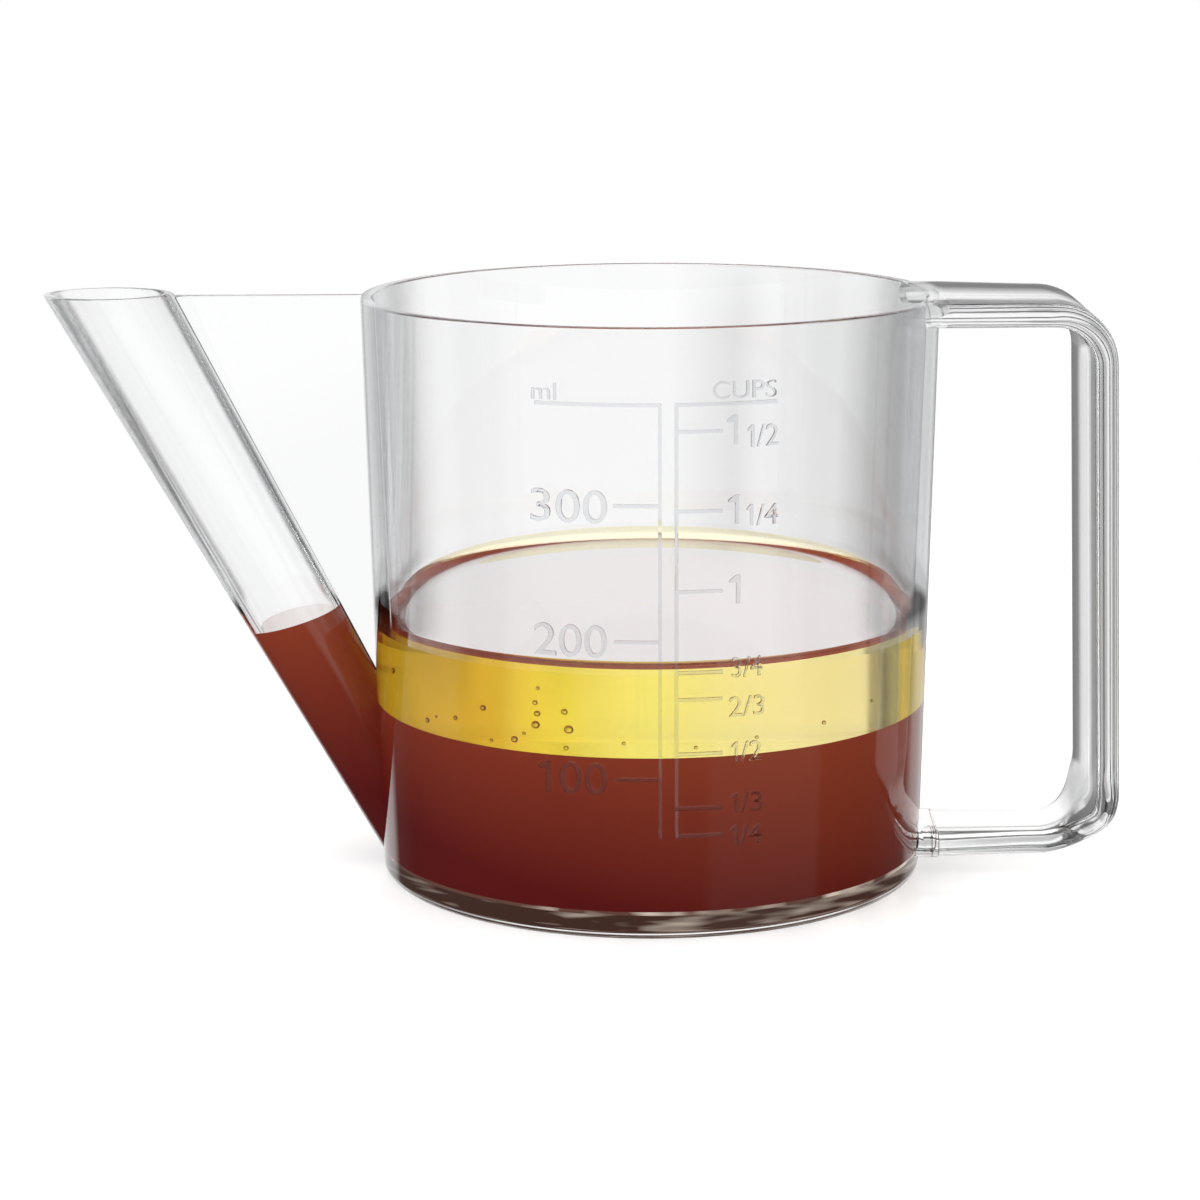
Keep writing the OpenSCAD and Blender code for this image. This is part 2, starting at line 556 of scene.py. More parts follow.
def waviness_group() -> bpy.types.NodeTree:
    """Builds the group that gives moulded plastic and still liquids their faint unevenness.

    Returns:
        A group with Scale and Stretch inputs, and Height and Fine outputs.
    """
    name = "faint_waviness"
    fineness = 12.0
    if name in bpy.data.node_groups:
        return bpy.data.node_groups[name]
    group = bpy.data.node_groups.new(name, "ShaderNodeTree")
    scale = group.interface.new_socket("Scale", in_out="INPUT", socket_type="NodeSocketFloat")
    scale.default_value = 40.0
    stretch = group.interface.new_socket("Stretch", in_out="INPUT", socket_type="NodeSocketVector")
    stretch.default_value = (1.0, 1.0, 1.0)
    group.interface.new_socket("Height", in_out="OUTPUT", socket_type="NodeSocketFloat")
    group.interface.new_socket("Fine", in_out="OUTPUT", socket_type="NodeSocketFloat")
    nodes, links = group.nodes, group.links
    entry, leave = nodes.new("NodeGroupInput"), nodes.new("NodeGroupOutput")
    place, mapping = nodes.new("ShaderNodeTexCoord"), nodes.new("ShaderNodeMapping")
    broad, fine = nodes.new("ShaderNodeTexNoise"), nodes.new("ShaderNodeTexNoise")
    finer = nodes.new("ShaderNodeMath")
    finer.operation = "MULTIPLY"
    finer.inputs[1].default_value = fineness
    broad.inputs["Detail"].default_value = 1.0
    fine.inputs["Detail"].default_value = 3.0
    links.new(place.outputs["Object"], mapping.inputs["Vector"])
    links.new(entry.outputs["Stretch"], mapping.inputs["Scale"])
    links.new(entry.outputs["Scale"], finer.inputs[0])
    for noise, size in ((broad, entry.outputs["Scale"]), (fine, finer.outputs[0])):
        links.new(mapping.outputs["Vector"], noise.inputs["Vector"])
        links.new(size, noise.inputs["Scale"])
    links.new(broad.outputs["Fac"], leave.inputs["Height"])
    links.new(fine.outputs["Fac"], leave.inputs["Fine"])
    return group


def add_waviness(book: NodeBook, scale: float, stretch: Colour) -> bpy.types.Node:
    """Places the waviness group in a material with its own values."""
    return book.add("ShaderNodeGroup", node_tree=waviness_group(), Scale=scale, Stretch=stretch)


# ---------------------------------------------------------------- finishes


@dataclass(frozen=True)
class ClearPlastic:
    """Water-clear moulded plastic with a high gloss.

    Attributes:
        name: The material's name.
        tint_and_painted_shade: Colour of light that passes through a surface, which is painted
            shade on the marks.
        ior: Index of refraction.
        wave: Strength of the moulding's faint waviness.
        wave_scale: Fineness of that waviness.
        wave_stretch: Its scale along X, Y and Z.
        wave_depth: Its depth, in metres.
        haze: Most roughness that its finer unevenness brings.
        shade: Colour that shadow rays keep when they pass.
        straight: Colour of light that passes straight at a slanting edge.
        edge_from: Facing values over which a slanting wall begins to pass light straight.
        edge_to: Facing values over which its outermost edge stops doing so.
        edge_share: Share of light that passes straight between them.
        edge_z: Heights, in metres, over which this begins, above the liquids.
        edge_x: Place along X, in metres, past which the handle lies.
        handle_share: Strength of this on the handle, at any height.
    """

    name: str = "clear_moulded_plastic"
    tint_and_painted_shade: Colour = (0.996, 0.998, 1.0)
    ior: float = 1.53
    wave: float = 0.035
    wave_scale: float = 55.0
    wave_stretch: Colour = (1.0, 1.0, 0.35)
    wave_depth: float = 0.0006
    haze: float = 0.002
    shade: Colour = (0.9, 0.905, 0.91)
    straight: Colour = (0.97, 0.975, 0.98)
    edge_from: Point2 = (0.4, 0.66)
    edge_to: Point2 = (0.84, 0.95)
    edge_share: float = 0.62
    edge_z: Point2 = (0.0405, 0.043)
    edge_x: float = 0.0437
    handle_share: float = 0.15

    def make(self) -> Material:
        """Builds the material.

        Returns:
            The material, which soft shadow and diffuse rays pass straight through.
        """
        material = bpy.data.materials.new(self.name)
        book = NodeBook(material)
        waves = add_waviness(book, self.wave_scale, self.wave_stretch)
        bump = book.add(
            "ShaderNodeBump",
            Strength=self.wave,
            Distance=self.wave_depth,
            Height=waves.outputs["Height"],
        )
        sheen = book.maths("MULTIPLY", waves.outputs["Fine"], self.haze)
        plastic = book.add(
            "ShaderNodeBsdfPrincipled",
            Base_Color=(*self.tint_and_painted_shade, 1.0),
            Roughness=sheen,
            IOR=self.ior,
            Transmission_Weight=1.0,
            Normal=bump.outputs["Normal"],
        )
        facing = book.facing()
        rise = book.step(facing, self.edge_from, self.edge_share)
        fall = book.maths("SUBTRACT", 1.0, book.step(facing, self.edge_to, 1.0))
        straight = book.add("ShaderNodeBsdfTransparent", Color=(*self.straight, 1.0))
        axes = book.axes()
        above = book.step(axes["Z"], self.edge_z, 1.0)
        handle = book.maths("GREATER_THAN", axes["X"], self.edge_x)
        cup = book.maths("MULTIPLY", above, book.maths("SUBTRACT", 1.0, handle))
        where = book.maths("MULTIPLY_ADD", handle, self.handle_share, cup)
        share = book.maths("MULTIPLY", book.maths("MULTIPLY", rise, fall), where)
        surface = book.mix_shaders(share, plastic.outputs[0], straight.outputs[0])
        book.end(book.pass_soft_light(surface, self.shade))
        return material


@dataclass(frozen=True)
class Fat:
    """Clear yellow melted fat, with painted shade and light on its near side.

    Attributes:
        name: The material's name.
        ior: Index of refraction.
        colour: Colour of light that has passed through it.
        density: Strength of that colouring, per metre.
        plain: Colour that light keeps on its way in on the far side.
        shade: Colour that shadow rays keep when they pass.
        wave: Strength of its faint waviness.
        wave_scale: Fineness of that waviness.
        wave_depth: Its depth, in metres.
        level_from: Upward share of the normal from which a face counts as level.
        mirror_at: Facing values over which a level face becomes a mirror.
        mirror: Share of light that it then mirrors.
        reach: Half the width, in metres, over which the streaks are laid.
        painted_shading: The same colour on the near side as painted shade and light, before it is
            squared, by millimetres along X.
    """

    name: str = "melted_fat"
    ior: float = 1.47
    colour: Colour = (1.0, 0.96, 0.6)
    density: float = 20.0
    plain: Colour = (1.0, 0.97, 0.75)
    shade: Colour = (1.0, 0.95, 0.7)
    wave: float = 0.02
    wave_scale: float = 25.0
    wave_depth: float = 0.0005
    level_from: float = 0.97
    mirror_at: Point2 = (0.45, 0.78)
    mirror: float = 0.8
    reach: float = 0.04
    # Painted shade and light: darker ochre towards the spout, paler towards the handle, and a
    # painted dark line from 33 to 35 mm.
    painted_shading: tuple[tuple[float, Colour], ...] = (
        (-38, (0.87, 0.58, 0.05)),
        (-22, (0.93, 0.63, 0.05)),
        (-12, (1.0, 0.86, 0.1)),
        (0, (1.0, 0.96, 0.4)),
        (14, (1.0, 0.96, 0.7)),
        (32, (1.0, 0.95, 0.8)),
        (33, (0.42, 0.38, 0.16)),
        (35, (0.42, 0.38, 0.16)),
        (36, (0.95, 0.75, 0.12)),
    )

    def make(self) -> Material:
        """Builds the material.

        Returns:
            The material, clear from above and mirror-like at a flat angle.
        """
        material = bpy.data.materials.new(self.name)
        book = NodeBook(material)
        waves = add_waviness(book, self.wave_scale, (1.0, 1.0, 1.0))
        bump = book.add(
            "ShaderNodeBump",
            Strength=self.wave,
            Distance=self.wave_depth,
            Height=waves.outputs["Height"],
        )
        axes = book.axes()
        width = 2 * self.reach
        painted_shading = book.ramp(
            book.maths("MULTIPLY_ADD", axes["X"], 1 / width, 0.5),
            [(x * MM / width + 0.5, tuple(v * v for v in kept)) for x, kept in self.painted_shading],
        )
        # Only the near side carries the painted shade and light.
        near = book.maths("LESS_THAN", axes["Y"], 0.0)
        liquid = book.add(
            "ShaderNodeBsdfPrincipled",
            Base_Color=book.blend(near, (*self.plain, 1.0), painted_shading),
            Roughness=0.0,
            IOR=self.ior,
            Transmission_Weight=1.0,
            Normal=bump.outputs["Normal"],
        )
        share = book.step(book.facing(), self.mirror_at, self.mirror)
        shine = book.add("ShaderNodeBsdfGlossy", Color=WHITE, Roughness=0.0)
        normal = book.add("ShaderNodeNewGeometry").outputs["Normal"]
        upward = book.add("ShaderNodeSeparateXYZ", Vector=normal).outputs["Z"]
        level = book.maths("GREATER_THAN", book.maths("ABSOLUTE", upward), self.level_from)
        share = book.maths("MULTIPLY", share, level)
        surface = book.mix_shaders(share, liquid.outputs[0], shine.outputs[0])
        absorb = book.add(
            "ShaderNodeVolumeAbsorption", Color=(*self.colour, 1.0), Density=self.density
        )
        book.end(book.pass_soft_light(surface, self.shade), absorb.outputs[0])
        return material


@dataclass(frozen=True)
class Gravy:
    """Dark red-brown gravy, nearly opaque, with painted light and shade and a painted glow.

    Attributes:
        name: The material's name.
        painted_shade: Colour of painted shade, on the side of the spout and towards the bottom.
        painted_light: Colour of painted light, on the side of the handle and towards the top.
        glow: Strength of a painted glow in its own colour, which stands in for light scattered
            inside it.
        gloss: Whether this is a level surface, and otherwise what lies against plastic.
        ior: Index of refraction.
        roughness: Roughness against plastic, and of a level surface.
        spread: Distances, in metres, along X and Z that turn it from painted shade to painted
            light.
        lead: Shift of that change.
        painted_shade_to: Place in that change where the painted shade colour begins to give way.
        clouds_and_glints: Strength of its clouds, which make painted glints where they are fine.
        clouds_and_glints_scale: Fineness of its clouds and painted glints.
        mirror_at: Facing values over which a glossy surface becomes a mirror.
        mirror: Share of light that it then mirrors.
        shine: Colour of what it mirrors.
        shine_roughness: Roughness of that mirror.
    """

    name: str = "gravy_body"
    painted_shade: Colour = (0.1, 0.005, 0.005)
    painted_light: Colour = (0.27, 0.044, 0.018)
    glow: float = 0.03
    gloss: bool = False
    ior: float = 1.34
    roughness: Point2 = (0.9, 0.04)
    spread: Point2 = (0.16, 0.03)
    lead: float = -0.02
    painted_shade_to: float = 0.1
    clouds_and_glints: float = 0.3
    clouds_and_glints_scale: float = 18.0
    mirror_at: Point2 = (0.4, 0.8)
    mirror: float = 0.75
    shine: Colour = (1.0, 0.97, 0.95)
    shine_roughness: float = 0.02

    def make(self) -> Material:
        """Builds the material.

        Returns:
            The material, with painted light and shade, a painted glow, and clouds of a lighter
            brown.
        """
        material = bpy.data.materials.new(self.name)
        book = NodeBook(material)
        waves = add_waviness(book, self.clouds_and_glints_scale, (1.0, 1.0, 1.4))
        axes = book.axes()
        along_x, along_z = self.spread
        # Painted light and shade: lighter upwards and towards the handle, darker towards the
        # spout.
        across = book.maths("MULTIPLY_ADD", axes["X"], 1 / along_x, self.lead)
        upward = book.maths("MULTIPLY_ADD", axes["Z"], 1 / along_z, across)
        clouds_and_glints = book.maths("MULTIPLY_ADD", waves.outputs["Height"], self.clouds_and_glints, -self.clouds_and_glints / 2)
        tone = book.maths("ADD", upward, clouds_and_glints)
        colour = book.ramp(tone, [(self.painted_shade_to, self.painted_shade), (1.0, self.painted_light)])
        body = book.add(
            "ShaderNodeBsdfPrincipled",
            Base_Color=colour,
            Roughness=self.roughness[self.gloss],
            IOR=self.ior,
            # Painted light: the gravy glows in its own colour, though it is no lamp.
            Emission_Color=colour,
            Emission_Strength=self.glow,
            Specular_IOR_Level=0.5 if self.gloss else 0.0,
        )
        surface = body.outputs[0]
        if self.gloss:
            share = book.step(book.facing(), self.mirror_at, self.mirror)
            shine = book.add(
                "ShaderNodeBsdfGlossy", Color=(*self.shine, 1.0), Roughness=self.shine_roughness
            )
            surface = book.mix_shaders(share, surface, shine.outputs[0])
        book.end(surface)
        return material


# ---------------------------------------------------------------- the vessel


@dataclass(frozen=True)
class Cup:
    """The cup's wall, foot and floor.

    Attributes:
        height: Height of the rim.
        rim_r: Outer radius at the rim.
        foot_r: Outer radius at the foot.
        rim_wall: Wall thickness at the rim.
        foot_wall: Wall thickness at the foot.
        rim_edge: Rounding of the rim's two edges.
        foot_round: Rounding under the foot.
        ledge_h: Height of the ledge under the floor.
        ledge_w: Width of the ledge.
        recess_edge: Slant between ledge and foot.
        recess_round: Rounding at the foot's inner edge.
        foot_out: How far the foot's rounding stands out past its radius.
        floor_top: Height of the floor's upper face.
        floor_fillet: Rounding between floor and wall.
    """

    height: float = 88.5
    rim_r: float = 43.3
    foot_r: float = 41.2
    rim_wall: float = 1.8
    foot_wall: float = 2.4
    rim_edge: float = 0.35
    foot_round: float = 1.9
    ledge_h: float = 0.8
    ledge_w: float = 2.2
    recess_edge: float = 0.3
    recess_round: float = 0.25
    foot_out: float = 0.03
    floor_top: float = 3.4
    floor_fillet: float = 0.9

    def outer_r(self, z: float) -> float:
        """Outer radius at a height."""
        return self.foot_r + (self.rim_r - self.foot_r) * z / self.height

    @property
    def bore_slope(self) -> float:
        """Growth of the inner radius per millimetre of height."""
        return (self.rim_r - self.rim_wall - self.foot_r + self.foot_wall) / self.height

    def inner_r(self, z: float) -> float:
        """Inner radius at a height."""
        return self.foot_r - self.foot_wall + self.bore_slope * z

    def fill_z(self, millilitres: float) -> float:
        """Height that a volume fills the cup to.

        Args:
            millilitres: The volume.

        Returns:
            The height, in millimetres.
        """
        base, slope = self.inner_r(self.floor_top), self.bore_slope
        reach = (base**3 + 3 * slope * millilitres * 1000 / math.pi) ** (1 / 3)
        return self.floor_top + (reach - base) / slope

    def outside(self) -> Piece:
        """Builds the cup's outside as a full solid, with the hollow under its floor.

        Returns:
            The closed solid.
        """
        edge, low = self.rim_edge, self.foot_round
        slant, soft = self.recess_edge, self.recess_round
        foot_x = self.foot_r + self.foot_out - low
        ledge = self.ledge_h
        recess = self.inner_r(ledge) - self.ledge_w
        profile = [(0.0, ledge), (recess - slant, ledge), (recess, ledge - slant)]
        profile += arc((recess + soft, soft), soft, 180, 270, 4)
        profile += arc((foot_x, low), low, 270, 359, 12)
        profile += arc((self.rim_r - edge, self.height - edge), edge, 0, 90)
        profile.append((0.0, self.height))
        return revolve("clear_vessel", profile)

    def inside(self) -> Piece:
        """Builds the solid that hollows the cup out, flared at the rim's inner edge.

        Returns:
            The closed solid, which runs past the rim.
        """
        edge, fillet, top = self.rim_edge, self.floor_fillet, self.height
        wall_x = self.inner_r(self.floor_top + fillet)
        rim_x = self.inner_r(top) + edge
        profile = [(0.0, self.floor_top)]
        profile += arc((wall_x - fillet, self.floor_top + fillet), fillet, 270, 360)
        profile += arc((rim_x, top - edge), edge, 180, 90)
        profile += [(rim_x, top + SPARE), (0.0, top + SPARE)]
        return revolve("cup_inside", profile)


@dataclass(frozen=True)
class Spout:
    """The straight spout and the web that ties it to the cup.

    Attributes:
        mouth_x: Distance from the cup's axis to the middle of the mouth.
        mouth_z: Height of the mouth.
        lean: Lean from upright, in degrees.
        mouth_d: Outer diameter at the mouth.
        root_d: Outer diameter where the bore enters the cup.
        wall: Wall thickness.
        floor_top: Height of the cup floor, where the bore ends.
        web_t: Thickness of the web.
        web_top: Height of the web's upper edge.
        web_in: How far the web runs past the wall's inner face.
        web_round: Rounding of the web's upper edges.
        mouth_round: Rounding of the mouth's edges.
        overrun: How far the full cones run past the mouth and the root.
    """

    mouth_x: float = 81.1
    mouth_z: float = 88.7
    lean: float = 28.5
    mouth_d: float = 17.0
    root_d: float = 12.2
    wall: float = 1.25
    floor_top: float = 3.4
    web_t: float = 1.8
    web_top: float = 88.4
    web_in: float = 0.6
    web_round: float = 0.3
    mouth_round: float = 0.28
    overrun: float = 8.0

    def axis_x(self, z: float) -> float:
        """Place of the spout's axis at a height."""
        return -self.mouth_x + (self.mouth_z - z) * math.tan(math.radians(self.lean))

    def cone(self, name: str, inset: float, low: float, high: float) -> Piece:
        """Builds a length of the spout's cone, cut level at both ends.

        Args:
            name: The new piece's name.
            inset: Distance inside the spout's outer face, negative for outside.
            low: Height of its lower end.
            high: Height of its upper end.

        Returns:
            The closed piece.
        """
        lean = math.radians(self.lean)
        length = (self.mouth_z - self.floor_top) / math.cos(lean)
        taper = (self.mouth_d - self.root_d) / 2 / length
        total = length + 2 * self.overrun
        shift = length / 2
        piece = create(
            name,
            bpy.ops.mesh.primitive_cone_add,
            vertices=128,
            radius1=(self.root_d / 2 - inset - taper * self.overrun) * MM,
            radius2=(self.mouth_d / 2 - inset + taper * self.overrun) * MM,
            depth=total * MM,
            location=(
                (-self.mouth_x + shift * math.sin(lean)) * MM,
                0,
                (self.mouth_z - shift * math.cos(lean)) * MM,
            ),
            rotation=(0, -lean, 0),
        )
        settle(piece)
        slice_off(piece, high, above=True)
        slice_off(piece, low, above=False)
        return piece

    def web(self, cup: Cup) -> Piece:
        """Builds the upright web between spout and cup.

        Args:
            cup: The cup that the web meets.

        Returns:
            The closed web, which runs into spout and wall.
        """
        low = self.floor_top + self.root_d
        corners = [
            (self.axis_x(self.web_top), self.web_top),
            (self.axis_x(low), low),
            (-cup.inner_r(low) - self.web_in, low),
            (-cup.inner_r(self.web_top) - self.web_in, self.web_top),
        ]
        piece = trace("spout_web_sheet", corners, -self.web_t / 2)
        with editing(piece, everything=True):
            bpy.ops.mesh.edge_face_add()
            bpy.ops.mesh.extrude_region_move(
                TRANSFORM_OT_translate={"value": (0, self.web_t * MM, 0)}
            )
        tidy_normals(piece)
        top = self.web_top * MM

        def on_top(edge: bmesh.types.BMEdge) -> bool:
            """Whether an edge runs along the web's upper face."""
            one, two = (vertex.co for vertex in edge.verts)
            return max(abs(one.z - top), abs(two.z - top), abs(one.y - two.y)) < SAME

        bevel_edges(piece, on_top, self.web_round)
        return piece

    def round_mouth(self, body: Piece) -> None:
        """Rounds the two edges of the mouth, once the bore is cut.

        Args:
            body: The vessel with its bore.
        """

        def at_mouth(edge: bmesh.types.BMEdge) -> bool:
            """Whether an edge is one of the mouth's sharp edges."""
            level = all(abs(v.co.z - self.mouth_z * MM) < 2 * SAME for v in edge.verts)
            return level and len(edge.link_faces) == 2 and edge.calc_face_angle(0) > 0.5

        bevel_edges(body, at_mouth, self.mouth_round)


@dataclass(frozen=True)
class Handle:
    """The strap handle and the pads that seat its ends on the wall.

    Attributes:
        thickness: Thickness of the strap.
        grip_w: Width where the hand holds it.
        lower_w: Width of the lower arm.
        flare: Share by which it widens at its roots.
        reach: Distance from the cup's axis to the outer face at the upper corner.
        lean: How much farther out that face stands at the lower corner.
        upper_corner_r: Outer radius of the upper corner.
        lower_corner_r: Outer radius of the lower corner.
        upper_z: Height of the strap's middle at the upper root.
        upper_fall: Fall of the upper arm.
        lower_z: Height of the strap's middle at the lower root.
        lower_rise: Rise of the lower arm.
        taper_top: Height below which the strap narrows.
        pad_extra: Amount by which a pad is thicker and wider than the strap.
        upper_pad_x: Place of the upper pad's outer face.
        lower_pad_x: Place of the lower pad's outer face.
        pad_soft: Slant at a pad's outer edge.
        pad_drop: How far the upper pad's flat top lies under the rim.
        inner_x: Place inside the cup where strap and pads end before the cup is hollowed.
        bend_steps: Number of steps in each corner.
        pace: Length of a step on a straight run.
    """

    thickness: float = 3.5
    grip_w: float = 30.0
    lower_w: float = 14.9
    flare: float = 0.13
    reach: float = 68.4
    lean: float = 2.2
    upper_corner_r: float = 9.2
    lower_corner_r: float = 11.4
    upper_z: float = 86.65
    upper_fall: float = 0.3
    lower_z: float = 4.55
    lower_rise: float = 0.2
    taper_top: float = 11.8
    pad_extra: float = 0.4
    upper_pad_x: float = 44.36
    lower_pad_x: float = 43.9
    pad_soft: float = 0.12
    pad_drop: float = 0.02
    inner_x: float = 37.5
    bend_steps: int = 18
    pace: float = 1.6

    def width_at(self, x: float, z: float) -> float:
        """Width of the strap at a place on its middle line.

        Args:
            x: Place along X.
            z: Height.

        Returns:
            The width, which grows from lower arm to grip and flares at the roots.
        """
        low = self.lower_z + self.lower_rise
        share = min(max((z - low) / (self.taper_top - low), 0.0), 1.0)
        share = share * share * (3 - 2 * share)
        body = self.lower_w + (self.grip_w - self.lower_w) * share
        reach = self.reach - self.lower_corner_r - self.lower_pad_x
        near = min(max(0.0, 1 - (x - self.lower_pad_x) / reach), 1.0)
        return body * (1 + self.flare * near)

    def middle_line(self) -> list[tuple[float, float, float]]:
        """Finds the strap's middle line.

        Returns:
            Points of x, z and heading in degrees, from inside the cup and back into it.
        """
        half = self.thickness / 2
        bends = (self.upper_corner_r - half, self.lower_corner_r - half)
        corners = [
            Vector((self.upper_pad_x, self.upper_z)),
            Vector((self.reach - half, self.upper_z - self.upper_fall)),
            Vector((self.reach + self.lean - half, self.lower_z + self.lower_rise)),
            Vector((self.lower_pad_x, self.lower_z)),
        ]
        line = [(self.inner_x, self.upper_z, 0.0)]
        start = corners[0]
        for before, corner, after, bend in zip(corners, corners[1:], corners[2:], bends):
            back, on = (before - corner).normalized(), (after - corner).normalized()
            turn = back.angle(on)
            reach = bend / math.tan(turn / 2)
            line += self._straight(start, corner + back * reach)
            middle = corner + (back + on).normalized() * bend / math.sin(turn / 2)
            first = corner + back * reach - middle
            angle = math.atan2(first.y, first.x)
            for i in range(1, self.bend_steps):
                here = angle - (math.pi - turn) * i / self.bend_steps
                x, z = middle.x + bend * math.cos(here), middle.y + bend * math.sin(here)
                line.append((x, z, math.degrees(here) - 90))
            start = corner + on * reach
        line += self._straight(start, corners[-1])
        line.append((self.inner_x, self.lower_z, 180.0))
        return line

    def _straight(self, start: Vector, end: Vector) -> list[tuple[float, float, float]]:
        """Points of x, z and heading on a straight run, both ends included.

        Args:
            start: Where the run starts, as x and z.
            end: Where it ends.

        Returns:
            The points, in order.
        """
        run = end - start
        steps = max(2, round(run.length / self.pace))
        heading = math.degrees(math.atan2(run.y, run.x))
        return [(*(start + run * i / steps), heading) for i in range(steps + 1)]

    def strap(self) -> Piece:
        """Builds the strap, with its ends inside the cup's wall.

        Returns:
            The closed strap.
        """
        stations = [
            Station(x, z, heading, self.width_at(x, z), self.thickness)
            for x, z, heading in self.middle_line()
        ]
        return sweep_band("handle_strap_band", stations)

    def pad(self, name: str, x: float, z: float) -> Piece:
        """Builds one pad as a short thick band that runs into the wall.

        Args:
            name: The new piece's name.
            x: Place of its outer face.
            z: Height of its middle.

        Returns:
            The closed pad.
        """
        width = self.width_at(x, z) + self.pad_extra
        thick = self.thickness + self.pad_extra
        soft = self.pad_soft
        stations = [
            Station(self.inner_x, z, 0, width, thick),
            Station(x - soft, z, 0, width, thick),
            Station(x, z, 0, width - 2 * soft, thick - 2 * soft),
        ]
        return sweep_band(name, stations)

    def pads(self, rim: float) -> list[Piece]:
        """Builds both pads, the upper one cut level with the rim.

        Args:
            rim: Height of the rim.

        Returns:
            The upper and the lower pad.
        """
        upper = self.pad("upper_pad_band", self.upper_pad_x, self.upper_z)
        slice_off(upper, rim - self.pad_drop, above=True)
        return [upper, self.pad("lower_pad_band", self.lower_pad_x, self.lower_z)]


class Unit(Enum):
    """The two scales on the cup's front."""

    MILLILITRES = "millilitre"
    MEASURES = "measure"


@dataclass(frozen=True)
class Label:
    """One raised numeral or unit mark.

    Attributes:
        text: What it says.
        x: Place of its middle along X.
        z: Height of its middle.
        width: Its full width.
        height: Its full height.
    """

    text: str
    x: float
    z: float
    width: float
    height: float


